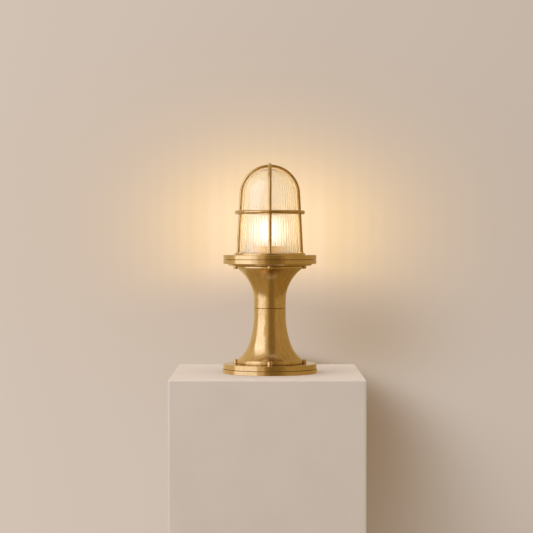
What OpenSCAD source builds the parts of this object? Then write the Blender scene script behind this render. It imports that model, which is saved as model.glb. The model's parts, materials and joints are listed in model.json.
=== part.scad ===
// Brass post lantern: a stepped foot, a waisted two-part column and a lamp head
// with a ribbed glass dome under a wire guard. Millimetres, +Z up, origin at the
// centre of the foot's underside.

/* [Foot] */
// Diameter of the floor plate
base_d = 140; // [134:1:154]
// Thickness of the floor plate
base_t = 5.8; // [5:0.2:8]
// Diameter of the foot ring on the floor plate
base_ring_d = 138; // [126:1:140]
// Thickness of the foot ring
base_ring_t = 7.3; // [6:0.1:10]
// Thickness of the rubber sheet between plate and foot ring
base_gasket_t = 0.4; // [0.3:0.1:1]
// Chamfer on the turned edges of the discs
edge = 0.5; // [0.3:0.1:1.2]
// Diameter of the three floor bolt holes
floor_hole_d = 5.8; // [4.5:0.1:7]
// Pitch circle diameter of the floor bolt holes
floor_pcd = 68; // [64:1:70]

/* [Column] */
// Outer diameter of the neck
neck_d = 47; // [44:0.5:50]
// Wall of both column castings
casting_wall = 3.5; // [3:0.1:4.2]
// Height of the lower column casting
lower_column_h = 82.4; // [80:0.5:88]
// Height of the upper column casting
upper_column_h = 62.2; // [60:0.5:68]
// Diameter of the rounded rims at both ends
rim_d = 98; // [94:0.5:102]
// Radius of the slow bend below the neck
lower_bend_r = 130; // [120:1:140]
// Angle that the slow bend turns through
lower_bend_sweep = 19.7; // [17:0.1:21]
// Radius of the quick bend above the foot
lower_foot_r = 49.4; // [46:0.2:54]
// Radius of the bend below the lamp head
upper_bend_r = 59.2; // [57:0.2:66]
// Height of the rounded rim at the foot
lower_rim_h = 6.6; // [6:0.1:8]
// Height of the rounded rim under the lamp head
upper_rim_h = 4.2; // [3.8:0.1:5]
// How far the lower rim stands out from the flare
lower_rim_over = 2.2; // [1.8:0.1:3]
// How far the upper rim stands out from the flare
upper_rim_over = 1.4; // [1:0.1:2.4]
// Chamfer on top of the lower casting, at the seam
seam_chamfer = 0.9; // [0.3:0.1:1.4]
// Thickness of the gasket on top of the column
column_gasket_t = 0.5; // [0.4:0.1:1]

/* [Lug screws] */
// Diameter of the round lugs on the rims
lug_d = 8.2; // [7.8:0.1:9]
// Diameter of the lug screws
screw_d = 4; // [3.5:0.1:4.4]
// Diameter of the lug screw heads
screw_head_d = 7.4; // [6.8:0.1:7.8]
// Height of the lug screw heads
screw_head_h = 1.9; // [1.6:0.1:2.6]
// Number of lugs on each rim
lug_count = 4; // [3:1:6]

/* [Lamp head] */
// Diameter of the gallery and of the guard ring
flange_d = 137.6; // [130:0.5:146]
// Thickness of the gallery disc
gallery_t = 6.2; // [6:0.1:8]
// Diameter of the step under the gallery
step_d = 126.6; // [118:0.5:128]
// Thickness of the step under the gallery
step_t = 2.6; // [2.2:0.1:4]
// Thickness of the guard ring
guard_ring_t = 6.4; // [6:0.1:8]
// Height of the raised collar on the guard ring
collar_t = 2.6; // [2:0.1:4]
// Gap between the gallery and the guard ring
parting_gap = 0.4; // [0.3:0.1:1]
// Diameter of the opening in the gallery
gallery_hole_d = 59; // [57:0.5:62]
// Diameter of the rubber cord in the gallery's groove
seal_d = 2; // [1.6:0.1:2.4]

/* [Guard] */
// Diameter of the guard bars
bar_d = 5; // [4:0.1:5.6]
// Radius of the arch, to the middle of the bar
arch_r = 42.4; // [40:0.2:45]
// Height of the arch centre over the collar
guard_leg_h = 86.5; // [80:0.5:96]
// Lean of the legs, in degrees
leg_lean = 3; // [0:0.1:4]
// How far the front bar rides over the side bar
crown_rise = 2.4; // [1.6:0.1:3.2]
// Diameter of the hoop's rod
hoop_rod_d = 5.6; // [5:0.1:6.4]
// Height of the hoop over the collar
hoop_h = 60.5; // [40:0.5:78]

/* [Glass] */
// Wall of the glass dome at its ribs
glass_wall = 3.4; // [2.8:0.1:4]
// Gap between the glass and the guard bars
glass_gap = 1.1; // [0.8:0.1:2]
// Number of ribs and grooves inside the glass
rib_count = 56; // [40:2:60]
// Depth of the grooves between the ribs
groove_deep = 1.1; // [0.6:0.1:1.4]
// Thickness of the lip at the foot of the glass
lip_t = 4; // [3:0.1:5]
// How far the lip stands out
lip_w = 3.9; // [3:0.1:5]
// Thickness of the rubber seat under the glass
seat_t = 1.6; // [1:0.1:2.4]
// Thickness of the slip washer over the lip
washer_t = 1; // [0.8:0.1:1.6]

/* [Lamp] */
// Diameter of the bulb's globe
globe_d = 45; // [40:0.5:48]
// Thickness of the bulb's glass
globe_wall = 1; // [0.6:0.1:1.4]
// Height of the globe's centre over the top of the lampholder
globe_h = 22.5; // [20:0.5:26]
// Outer diameter of the bulb's screw cap
cap_d = 26.4; // [26:0.1:26.6]
// Outer diameter of the lampholder skirt
holder_d = 40; // [39:0.5:42]
// Height of the lampholder's top over the gallery
holder_top_h = 20.1; // [16:0.1:23]

/* [Wiring] */
// Bore of the cable gland's seal
cable_bore = 9; // [6:0.5:9.6]
// Outer diameter of the inner leads
lead_d = 2.2; // [1.6:0.1:2.4]
// Diameter of the small fixing screws
small_screw_d = 3; // [2.6:0.1:3.2]

/* [Hidden] */
$fn = 96;

brass = [0.74, 0.55, 0.26];
bright_brass = [0.82, 0.66, 0.36];
rubber = [0.12, 0.12, 0.12];
clear_glass = [0.92, 0.93, 0.9, 0.35];

// Clearances
fit = 0.05;         // a shaft in its hole
slack = 0.5;        // a loose fit round a gasket or a lip
far = 400;          // longer than anything here

// Heights, from the floor up
z_plate = base_t;
z_ring0 = z_plate + base_gasket_t;
z_ring1 = z_ring0 + base_ring_t;
z_seam = z_ring1 + lower_column_h;
z_rim_top = z_seam + upper_column_h;
z_step = z_rim_top + column_gasket_t;
z_disc = z_step + step_t;
z_gallery = z_disc + gallery_t;
z_guard = z_gallery + parting_gap;
z_guard_top = z_guard + guard_ring_t;
z_collar = z_guard_top + collar_t;
z_arch = z_collar + guard_leg_h;
z_hoop = z_collar + hoop_h;

// Column radii
neck_r = neck_d / 2;
neck_bore_r = neck_r - casting_wall;
coupling_wall = 4;

// Centre of the second bend of a flare, from its first one; x is the radius, y the way along
function bend2(r1, sweep, r2) = [neck_r + r1 - (r1 - r2) * cos(sweep), (r1 - r2) * sin(sweep)];

// Length of a flare from the start of its bends to where its surface has radius r
function flare_h(r1, sweep, r2, r) =
    bend2(r1, sweep, r2)[1] + sqrt(r2 * r2 - pow(bend2(r1, sweep, r2)[0] - r, 2));

rim_sink = 1.4;     // the bends run this far into each rim
upper_sweep = 30;   // both bends of the upper flare have one radius, so it can split anywhere
rim_r = rim_d / 2;
lower_flare_h = flare_h(lower_bend_r, lower_bend_sweep, lower_foot_r, rim_r - lower_rim_over);
upper_flare_h = flare_h(upper_bend_r, upper_sweep, upper_bend_r, rim_r - upper_rim_over);
lower_straight = lower_column_h - lower_rim_h - lower_flare_h;
upper_straight = upper_column_h - upper_rim_h - upper_flare_h;
lug_r = rim_r + 1.1;
lower_lug_h = lower_rim_h - 1.6;
upper_lug_h = upper_rim_h - 1.2;
rim_w = 6;          // the rims are this wide from their bore
rim_bore_r = rim_r - rim_w;
foot_bore_r = rim_bore_r - 0.8;

// Glass radii
dome_r = arch_r - bar_d / 2 - glass_gap;

// Outer radius of a leaning wall that runs up into a ball of radius r at z_arch
function lean_r(r, z) = r / cos(leg_lean) + (z_arch - z) * tan(leg_lean);

seat_drop = 2.4;    // the glass seat lies this far below the gallery's top
z_seat = z_gallery - seat_drop;
z_lip0 = z_seat + seat_t;
z_lip1 = z_lip0 + lip_t;
z_shoulder = z_lip1 + washer_t;
glass_foot_r = lean_r(dome_r, z_lip1);
lip_r = glass_foot_r + lip_w;
seat_r = lip_r + 0.8;
thread_r = seat_r + 5.6;
thread_gap = 0.1;
seal_r = (thread_r + flange_d / 2) / 2;
seal_depth = seal_d - parting_gap + 0.1;
collar_bore_r = glass_foot_r + slack;
leg_foot_r = lean_r(arch_r, z_collar);
collar_r = leg_foot_r + bar_d / 2 + 3.1;
pocket_r = glass_foot_r - glass_wall - 1;
pocket_floor = 3.4; // thickness of the gallery's floor
hoop_rod_r = hoop_rod_d / 2;
hoop_bite = 0.2;    // the bars are let into the hoop this far
hoop_r = lean_r(arch_r, z_hoop) + bar_d / 2 + hoop_rod_r - hoop_bite;

// Lampholder and bulb heights
z_holder = z_gallery + holder_top_h;
holder_skirt_h = 37.5;
holder_cap_h = 11;
skirt_wall = 1.4;
z_skirt = z_holder - holder_skirt_h;
z_holder_foot = z_skirt - holder_cap_h;
holder_r = holder_d / 2;
spigot_wall = 0.95;
porcelain_r = holder_r - skirt_wall - spigot_wall - 0.15;
z_porcelain = z_skirt - 4;
z_porcelain_top = z_holder - 3.5;
z_globe = z_holder + globe_h;
z_cap_top = z_holder - 3.5;
bulb_cap_h = 21;
insulator_h = 3.7;
tip_h = 1.8;
z_cap = z_cap_top - bulb_cap_h;
z_insulator = z_cap - insulator_h;
z_tip = z_insulator - tip_h;
cap_r = cap_d / 2;
shell_gap = 0.15;
shell_wall = 0.6;
shell_r = cap_r + shell_gap;
socket_r = shell_r + shell_wall;
z_socket = z_tip - 3.5;
pillar_x = 9;
pillar_r = 2.4;
pillar_h = 4.6;
pillar_stud_r = 1.25;

// Bracket that carries the lampholder
bracket_t = 1.5;
bracket_w = 12;
bracket_leg_x = gallery_hole_d / 2 - 4.4;
bracket_foot_x = gallery_hole_d / 2 + 6.5;
bracket_screw_x = bracket_foot_x - 4.5;
bracket_tag_x = 16;
tag_t = 0.8;
small_r = small_screw_d / 2;
z_bracket = z_holder_foot - bracket_t;
nipple_r = 5;
nipple_bore_r = 3.5;
nipple_nut_h = 4;

// Wiring parts on the floor plate
gland_r = 10;
gland_flange_h = 4.2;
gland_af = 24;
gland_thread_r = 9.4;
gland_socket_r = 7.4;
gland_seal_h = 8;
gland_nut_r = 11.4;
gland_nut_h = 12;
gland_nut_cone = 4.5;
block_at = [28, 0];
block_size = [16, 22, 13];
pole_y = 5.5;
earth_at = [-20, 20];

// Moves copies round the Z axis
module around(count, start = 0) {
    for (i = [0 : count - 1])
        rotate([0, 0, start + i * 360 / count])
            children();
}

// Turned disc with chamfered outer edges and a bore
module turned(r, h, bore, low = edge, high = edge) {
    rotate_extrude()
        polygon([
            [bore, 0], [r - low, 0], [r, low], [r, h - high], [r - high, h], [bore, h]
        ]);
}

// Plain ring
module ring(outer, inner, h) {
    difference() {
        cylinder(r = outer, h = h);
        translate([0, 0, -1])
            cylinder(r = inner, h = h + 2);
    }
}

// Slotted screw: the head's seat is at the origin, the head is above and the shank below
module slotted_screw(shank_r, head_r, head_h, length, slot = 1) {
    difference() {
        union() {
            rotate_extrude()
                polygon([
                    [0, 0], [head_r, 0], [head_r, head_h * 0.3], [head_r * 0.95, head_h * 0.52],
                    [head_r * 0.82, head_h * 0.77], [head_r * 0.62, head_h * 0.93],
                    [head_r * 0.4, head_h], [0, head_h]
                ]);
            translate([0, 0, -length])
                cylinder(r = shank_r, h = length);
        }
        translate([0, 0, head_h])
            cube([slot, 3 * head_r, head_h], center = true);
    }
}

// Hexagon nut across flats af, on z = 0
module hex_nut(af, h, bore) {
    difference() {
        cylinder(d = af / cos(30), h = h, $fn = 6);
        translate([0, 0, -1])
            cylinder(r = bore, h = h + 2);
    }
}

// Area inside a flare's surface, moved in by off; x is the radius, y the way out from the neck
module flare_area(r1, sweep, r2, length, off) {
    c2 = bend2(r1, sweep, r2);
    join = c2[1] + (r2 + off) * sin(sweep);
    translate([0, -far])
        square([neck_r - off, far]);
    difference() {
        square([neck_r + r1, join]);
        translate([neck_r + r1, 0])
            circle(r = r1 + off);
    }
    difference() {
        translate([0, join])
            square([c2[0], length - join]);
        translate(c2)
            circle(r = r2 + off);
    }
}

// Rounded rim from radius r0 to r1, on y = 0
module rim_area(r0, r1, h, round) {
    translate([r0, 0])
        square([r1 - round - r0, h]);
    translate([r0, round])
        square([r1 - r0, h - 2 * round]);
    for (y = [round, h - round])
        translate([r1 - round, y])
            circle(r = round);
}

// One column casting, neck seam at z = 0 and mouth upwards
module column_casting(r1, sweep, r2, straight, length, rim_h, bore_h, cut) {
    height = straight + length + rim_h;
    round = rim_h * 0.42;
    rotate_extrude()
        difference() {
            union() {
                intersection() {
                    translate([0, straight])
                        flare_area(r1, sweep, r2, length + rim_sink, 0);
                    square([far, straight + length + rim_sink]);
                }
                translate([0, height - rim_h])
                    rim_area(rim_bore_r - 1, rim_r, rim_h, round);
            }
            intersection() {
                translate([0, straight])
                    flare_area(r1, sweep, r2, length + far, casting_wall);
                translate([0, -1])
                    square([rim_bore_r, far]);
            }
            translate([0, height - bore_h])
                square([rim_bore_r, bore_h + 1]);
            polygon([
                [neck_r - cut, -1], [neck_r - cut, 0],
                [neck_r, cut], [neck_r + 1, cut], [neck_r + 1, -1]
            ]);
        }
}

// Lugs on a casting's rim, at the mouth plane z = 0 and reaching down
module lugs(lug_h) {
    difference() {
        around(lug_count)
            translate([lug_r, 0, -lug_h])
                cylinder(d = lug_d, h = lug_h);
        translate([0, 0, -lug_h - 1])
            cylinder(r = rim_r - 3, h = lug_h + 2);
    }
}

// Seats for the screw heads, and the holes through the lugs
module lug_cuts(lug_h) {
    around(lug_count)
        translate([lug_r, 0, 0]) {
            translate([0, 0, -lug_h - 8])
                cylinder(d = lug_d, h = 8);
            translate([0, 0, -lug_h - 1])
                cylinder(r = screw_d / 2 + 0.2, h = lug_h + 2);
        }
}

module base_plate() {
    color(brass)
        difference() {
            turned(base_d / 2, base_t, 0, edge * 0.6);
            translate([0, 0, -1])
                cylinder(r = gland_r, h = base_t + 2);
            around(3, 60)
                translate([floor_pcd / 2, 0, -1])
                    cylinder(d = floor_hole_d, h = base_t + 2);
            around(lug_count)
                translate([lug_r, 0, 1.2])
                    cylinder(r = screw_d / 2, h = base_t);
            translate([earth_at[0], earth_at[1], 1.2])
                cylinder(r = 2, h = base_t);
            translate([block_at[0], block_at[1], 1.2])
                cylinder(r = small_r, h = base_t);
        }
}

module base_gasket() {
    color(rubber)
        translate([0, 0, z_plate])
            difference() {
                ring(base_ring_d / 2 - edge - 0.2, foot_bore_r, base_gasket_t);
                around(lug_count)
                    translate([lug_r, 0, -1])
                        cylinder(r = screw_d / 2 + 0.2, h = base_gasket_t + 2);
            }
}

module base_ring() {
    color(brass)
        translate([0, 0, z_ring0])
            difference() {
                turned(base_ring_d / 2, base_ring_t, foot_bore_r);
                around(lug_count)
                    translate([lug_r, 0, -1])
                        cylinder(r = screw_d / 2 + 0.2, h = base_ring_t + 2);
            }
}

module lower_column() {
    color(brass)
        translate([0, 0, z_seam])
            mirror([0, 0, 1])
                difference() {
                    union() {
                        column_casting(lower_bend_r, lower_bend_sweep, lower_foot_r,
                            lower_straight, lower_flare_h, lower_rim_h, lower_rim_h, seam_chamfer);
                        translate([0, 0, lower_column_h])
                            lugs(lower_lug_h);
                    }
                    translate([0, 0, lower_column_h])
                        lug_cuts(lower_lug_h);
                }
}

module upper_column() {
    color(brass)
        translate([0, 0, z_seam])
            difference() {
                union() {
                    column_casting(upper_bend_r, upper_sweep, upper_bend_r,
                        upper_straight, upper_flare_h, upper_rim_h, upper_rim_h + 1, seam_chamfer / 3);
                    translate([0, 0, upper_column_h])
                        lugs(upper_lug_h);
                }
                translate([0, 0, upper_column_h])
                    lug_cuts(upper_lug_h);
            }
}

// Screws down through the lower lugs into the floor plate
module lower_lug_screws() {
    color(bright_brass)
        around(lug_count)
            translate([lug_r, 0, z_ring1 + lower_lug_h])
                slotted_screw(screw_d / 2 - 0.02, screw_head_d / 2, screw_head_h,
                    z_ring1 + lower_lug_h - 1.4);
}

// Screws up through the upper lugs into the gallery
module upper_lug_screws() {
    color(bright_brass)
        around(lug_count)
            translate([lug_r, 0, z_rim_top - upper_lug_h])
                mirror([0, 0, 1])
                    slotted_screw(screw_d / 2 - 0.02, screw_head_d / 2, screw_head_h,
                        upper_lug_h + column_gasket_t + 5);
}

// Threaded tube that joins the two castings inside the neck
module neck_coupling() {
    color(bright_brass)
        translate([0, 0, z_seam - lower_straight + 0.2])
            ring(neck_bore_r - fit, neck_bore_r - coupling_wall, lower_straight + upper_straight - 0.4);
}

module column_gasket() {
    color(rubber)
        translate([0, 0, z_rim_top])
            ring(rim_r - 2.2, rim_bore_r + 0.3, column_gasket_t);
}

// Body of the lamp head, with the seat for the glass and the threaded collar for the guard
module gallery() {
    top = z_shoulder - 0.3 - z_step;
    color(brass)
        translate([0, 0, z_step])
            difference() {
                union() {
                    turned(step_d / 2, step_t, 0, edge, 0);
                    translate([0, 0, step_t])
                        turned(flange_d / 2, gallery_t, 0);
                    cylinder(r = thread_r, h = top);
                    translate([0, 0, -upper_rim_h])
                        cylinder(r = rim_bore_r - 0.1, h = upper_rim_h + 1);
                }
                translate([0, 0, -far / 2])
                    cylinder(d = gallery_hole_d, h = far);
                translate([0, 0, -upper_rim_h - 1])
                    cylinder(r = rim_bore_r - 3.6, h = upper_rim_h + 1);
                translate([0, 0, pocket_floor])
                    cylinder(r = pocket_r, h = far);
                translate([0, 0, z_seat - z_step])
                    cylinder(r = seat_r, h = far);
                translate([0, 0, z_gallery - z_step - seal_depth])
                    ring(seal_r + seal_d / 2 + 0.2, seal_r - seal_d / 2 - 0.2, far);
                around(lug_count)
                    translate([lug_r, 0, -1])
                        cylinder(r = screw_d / 2, h = 6.4);
                for (side = [-1, 1])
                    translate([side * bracket_screw_x, 0, pocket_floor - 2.8])
                        cylinder(r = small_r, h = 4);
            }
}

// Seal that lies in the gallery's groove, under the guard ring
module ring_seal() {
    color(rubber)
        translate([0, 0, z_gallery - seal_depth + seal_d / 2])
            rotate_extrude()
                translate([seal_r, 0])
                    circle(d = seal_d);
}

module glass_seat() {
    color(rubber)
        translate([0, 0, z_seat])
            ring(seat_r - 0.4, pocket_r + 1, seat_t);
}

// Area inside a ball of radius r on a leaning wall that runs down to z0. The wall stands a
// hair inside the ball's tangent, so the two cross on a clean line.
module dome_area(r, z0) {
    hair = 0.05;
    top = z_arch + r * sin(leg_lean);
    polygon([[0, z0], [lean_r(r, z0) - hair, z0], [lean_r(r, top) - hair, top], [0, top]]);
    intersection() {
        translate([0, z_arch])
            circle(r = r);
        translate([0, z_arch - r / 2])
            square([r, 2 * r]);
    }
}

// Glass dome, its inside ribbed by upright grooves
module glass_dome() {
    inner_r = dome_r - glass_wall;
    side = groove_deep * sqrt(2);
    foot = z_shoulder + 2;
    color(clear_glass)
        difference() {
            rotate_extrude()
                difference() {
                    union() {
                        dome_area(dome_r, z_lip0);
                        translate([0, z_lip0])
                            square([lip_r, lip_t]);
                    }
                    dome_area(inner_r, z_lip0 - 1);
                }
            around(rib_count, 180 / rib_count)
                translate([lean_r(inner_r, foot), 0, foot])
                    rotate([0, -leg_lean, 0])
                        rotate([0, 0, 45])
                            translate([-side / 2, -side / 2, 0])
                                cube([side, side, z_arch - 4 - foot]);
        }
}

// Washer that lets the guard ring turn over the glass
module slip_washer() {
    color(rubber)
        translate([0, 0, z_lip1])
            ring(lip_r, collar_bore_r + 0.3, washer_t);
}

// Screwed ring that carries the guard and clamps the glass
module guard_ring() {
    color(brass)
        translate([0, 0, z_guard])
            difference() {
                union() {
                    turned(flange_d / 2, guard_ring_t, 0);
                    translate([0, 0, guard_ring_t])
                        turned(collar_r, collar_t, 0, 0, 0.6);
                }
                translate([0, 0, -1])
                    cylinder(r = thread_r + thread_gap, h = z_shoulder - z_guard + 1);
                translate([0, 0, -1])
                    cylinder(r = collar_bore_r, h = far);
            }
}

// One U-shaped bar in the XZ plane, its arch raised by rise
module guard_bar(rise) {
    r = bar_d / 2;
    foot = z_collar;
    centre = z_arch + rise;
    leg_length = (centre - foot) / cos(leg_lean) + arch_r * sin(leg_lean) + 2;
    intersection() {
        translate([0, 0, centre])
            rotate([90, 0, 0]) {
                rotate([0, 0, leg_lean])
                    rotate_extrude(angle = 180 - 2 * leg_lean)
                        translate([arch_r, 0])
                            circle(r = r);
                for (side = [0, 1])
                    mirror([side, 0, 0])
                        rotate([0, 0, leg_lean])
                            translate([arch_r, 0, 0])
                                rotate([90, 0, 0])
                                    cylinder(r = r, h = leg_length);
            }
        translate([-far / 2, -far / 2, foot])
            cube(far);
    }
}

module guard_bar_side() {
    color(brass)
        guard_bar(0);
}

// Front-to-back bar, notched over the side bar at the crown
module guard_bar_front() {
    color(brass)
        difference() {
            rotate([0, 0, 90])
                guard_bar(crown_rise);
            guard_bar(0);
        }
}

// Hoop round the bars, notched where they are let in
module guard_hoop() {
    color(brass)
        difference() {
            translate([0, 0, z_hoop])
                rotate_extrude()
                    translate([hoop_r, 0])
                        circle(r = hoop_rod_r);
            guard_bar(0);
            rotate([0, 0, 90])
                guard_bar(crown_rise);
        }
}

// Bent strap across the gallery's opening that carries the lampholder
module holder_bracket() {
    z_foot = z_step + pocket_floor;
    color("silver")
        difference() {
            rotate([90, 0, 0])
                linear_extrude(bracket_w, center = true)
                    union() {
                        translate([-bracket_leg_x, z_bracket])
                            square([2 * bracket_leg_x, bracket_t]);
                        for (side = [0, 1])
                            mirror([side, 0]) {
                                translate([bracket_leg_x - bracket_t, z_bracket])
                                    square([bracket_t, z_foot + bracket_t - z_bracket]);
                                translate([bracket_leg_x - bracket_t, z_foot])
                                    square([bracket_foot_x - bracket_leg_x + bracket_t, bracket_t]);
                            }
                    }
            translate([0, 0, z_bracket - 1])
                cylinder(r = nipple_r + 0.1, h = bracket_t + 2);
            translate([-bracket_tag_x, 0, z_bracket - 1])
                cylinder(r = small_r, h = bracket_t + 2);
            for (side = [-1, 1])
                translate([side * bracket_screw_x, 0, z_foot - 1])
                    cylinder(r = small_r + 0.2, h = bracket_t + 2);
        }
}

module bracket_screws() {
    color("silver")
        for (side = [-1, 1])
            translate([side * bracket_screw_x, 0, z_step + pocket_floor + bracket_t])
                slotted_screw(small_r - 0.02, small_r + 1.3, 1.6, bracket_t + 2.6, 0.8);
}

// Tag under the bracket that the earth lead is soldered to
module bracket_earth_tag() {
    color("silver")
        translate([-bracket_tag_x, 0, z_bracket - tag_t])
            difference() {
                union() {
                    cylinder(r = 3, h = tag_t);
                    translate([-6.5, -1.6, 0])
                        cube([6.5, 3.2, tag_t]);
                }
                translate([0, 0, -1])
                    cylinder(r = small_r + fit, h = 3);
            }
}

// Screw that holds the earth tag on the bracket
module bracket_earth_screw() {
    color(bright_brass)
        translate([-bracket_tag_x, 0, z_bracket - tag_t])
            mirror([0, 0, 1])
                slotted_screw(small_r - 0.02, small_r + 1.3, 1.6, bracket_t + 1.8, 0.8);
}

module holder_nipple() {
    color(bright_brass)
        translate([0, 0, z_bracket - nipple_nut_h - 1])
            ring(nipple_r, nipple_bore_r, bracket_t + nipple_nut_h + 2.8);
}

module nipple_nut() {
    color(bright_brass)
        translate([0, 0, z_bracket - nipple_nut_h])
            hex_nut(14, nipple_nut_h, nipple_r + fit);
}

// Cone-shaped foot of the lampholder
module holder_cap() {
    spigot = holder_r - skirt_wall - fit;
    ledge = porcelain_r + 0.1;
    color(brass)
        translate([0, 0, z_holder_foot])
            rotate_extrude()
                polygon([
                    [nipple_r + fit, 0], [12, 0], [holder_r, 6.5], [holder_r, holder_cap_h],
                    [spigot, holder_cap_h], [spigot, holder_cap_h + 4], [ledge, holder_cap_h + 4],
                    [ledge, 7], [ledge - 1.4, 7], [12.6, 1.5], [nipple_r + fit, 1.5]
                ]);
}

module holder_skirt() {
    color(brass)
        translate([0, 0, z_skirt])
            rotate_extrude()
                difference() {
                    union() {
                        square([holder_r, holder_skirt_h]);
                        translate([holder_r - 0.6, holder_skirt_h - 1.2])
                            circle(r = 1.2);
                        translate([holder_r - 0.4, 2])
                            circle(r = 1);
                    }
                    translate([-1, -1])
                        square([holder_r - skirt_wall + 1, z_porcelain_top - z_skirt + 1]);
                    translate([-1, -1])
                        square([porcelain_r - 0.2, far]);
                }
}

// Porcelain body with the socket for the bulb
module holder_porcelain() {
    color("white")
        translate([0, 0, z_porcelain])
            difference() {
                cylinder(r = porcelain_r, h = z_porcelain_top - z_porcelain);
                translate([0, 0, z_socket - z_porcelain])
                    cylinder(r = socket_r, h = far);
                for (side = [-1, 1])
                    translate([side * pillar_x, 0, -1])
                        cylinder(r = pillar_stud_r + fit, h = far);
            }
}

// Socket for the bulb's cap, with a tab to the neutral terminal
module holder_screw_shell() {
    color("peru")
        translate([0, 0, z_socket])
            union() {
                ring(socket_r - 0.02, shell_r, z_porcelain_top - z_socket);
                translate([-shell_r - 0.2, -2, 0])
                    cube([shell_r + 0.2 - pillar_x + 2, 4, 0.6]);
            }
}

// Sprung tongue from the live terminal to the bulb's tip
module holder_centre_contact() {
    color("peru")
        translate([0, 0, z_socket])
            rotate([90, 0, 0])
                linear_extrude(5, center = true)
                    polygon([
                        [pillar_x + 2, 0], [pillar_x + 2, 0.6], [4, 0.6], [2.4, 3.45],
                        [-2.4, 3.45], [-2.4, 2.85], [1.9, 2.85], [3.2, 0]
                    ]);
}

// Terminals under the porcelain, their studs running up through it
module holder_terminals() {
    color(bright_brass)
        for (side = [-1, 1])
            translate([side * pillar_x, 0, z_porcelain])
                difference() {
                    union() {
                        translate([0, 0, -pillar_h])
                            cylinder(r = pillar_r, h = pillar_h);
                        cylinder(r = pillar_stud_r, h = z_socket - z_porcelain);
                    }
                    translate([0, 0, -pillar_h / 2])
                        rotate([0, 90, 0])
                            cylinder(r = lead_d / 2 + 0.1, h = far, center = true);
                    translate([0, 0, -pillar_h - 1])
                        cylinder(r = 1, h = pillar_h / 2 + 1);
                }
}

module holder_terminal_screws() {
    length = pillar_h / 2 - lead_d / 2 - 0.1;
    color("silver")
        for (side = [-1, 1])
            translate([side * pillar_x, 0, z_porcelain - pillar_h])
                difference() {
                    cylinder(r = 0.97, h = length);
                    translate([-2, -0.25, -1])
                        cube([4, 0.5, 1.5]);
                }
}

module bulb_tip() {
    color("silver")
        translate([0, 0, z_tip])
            cylinder(r1 = 3.6, r2 = 4.6, h = tip_h);
}

module bulb_insulator() {
    color(rubber)
        translate([0, 0, z_insulator])
            cylinder(r1 = 5.2, r2 = cap_r - 0.8, h = insulator_h);
}

module bulb_cap() {
    color("silver")
        translate([0, 0, z_cap])
            rotate_extrude()
                polygon([
                    [0, 0], [cap_r - 0.8, 0], [cap_r, 1.6], [cap_r, bulb_cap_h - 0.4],
                    [cap_r - 0.4, bulb_cap_h], [cap_r - 0.8, bulb_cap_h],
                    [cap_r - 0.8, 1.2], [0, 1.2]
                ]);
}

// Area inside the globe and its neck, moved in by off
module globe_area(off) {
    r = globe_d / 2;
    neck = cap_r - 0.85;
    join = 14;
    intersection() {
        translate([0, z_globe])
            circle(r = r - off);
        translate([0, z_globe - join])
            square([r, 2 * r]);
    }
    polygon([
        [0, z_cap_top], [neck - off, z_cap_top],
        [sqrt(r * r - join * join) - off, z_globe - join], [0, z_globe - join]
    ]);
    translate([0, z_cap_top - 10])
        square([neck - off, 10]);
}

module bulb_globe() {
    color("ivory")
        rotate_extrude()
            difference() {
                globe_area(0);
                globe_area(globe_wall);
                translate([-1, z_cap_top - 11])
                    square([cap_r - 0.85 - globe_wall + 1, 4]);
            }
}

// Glass mount inside the bulb
module bulb_stem() {
    neck = cap_r - 0.85 - globe_wall - 0.1;
    z0 = z_cap_top - 10;
    z1 = z_globe - 14;
    color(clear_glass)
        rotate_extrude()
            polygon([
                [0, z0], [neck, z0], [neck, z0 + 1.2], [5, z0 + 6], [3, z1 - 3], [3.4, z1],
                [0.8, z1], [0.8, z_globe + 12], [0, z_globe + 12]
            ]);
}

// Four light-giving rods round the stem
module bulb_filaments() {
    color("gold")
        around(4, 45)
            translate([6, 0, z_globe - 12])
                cylinder(r = 0.9, h = 24, $fn = 16);
}

// Feed wires to the foot of each pair of rods, and the cross wire over their tops
module bulb_lead_wires() {
    rod_x = 6 * cos(45);
    color("silver") {
        for (side = [-1, 1])
            translate([side * rod_x - 0.3, -rod_x - 0.6, z_globe - 12.6])
                cube([0.6, 2 * rod_x + 1.2, 0.6]);
        for (side = [0, 1])
            mirror([side, 0, 0])
                translate([1.6, -0.3, z_globe - 12.6])
                    cube([rod_x - 1.6, 0.6, 0.6]);
        for (side = [0, 1])
            mirror([side, 0, 0])
                translate([1.6, -0.3, z_globe - 14])
                    cube([0.6, 0.6, 2]);
        around(4, 45)
            translate([0, -0.3, z_globe + 12])
                cube([6.6, 0.6, 0.6]);
    }
}

// Cable gland in the floor plate
module gland_body() {
    color("silver")
        difference() {
            union() {
                cylinder(r = gland_r - fit, h = z_plate + 1);
                translate([0, 0, z_plate])
                    cylinder(d = gland_af / cos(30), h = gland_flange_h, $fn = 6);
                translate([0, 0, z_plate])
                    cylinder(r = gland_thread_r, h = gland_flange_h + 5);
            }
            translate([0, 0, -1])
                cylinder(r = cable_bore / 2 + 0.5, h = far);
            translate([0, 0, z_plate + gland_flange_h])
                cylinder(r = gland_socket_r, h = far);
        }
}

module gland_seal() {
    color(rubber)
        translate([0, 0, z_plate + gland_flange_h])
            ring(gland_socket_r - fit, cable_bore / 2, gland_seal_h);
}

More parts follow.
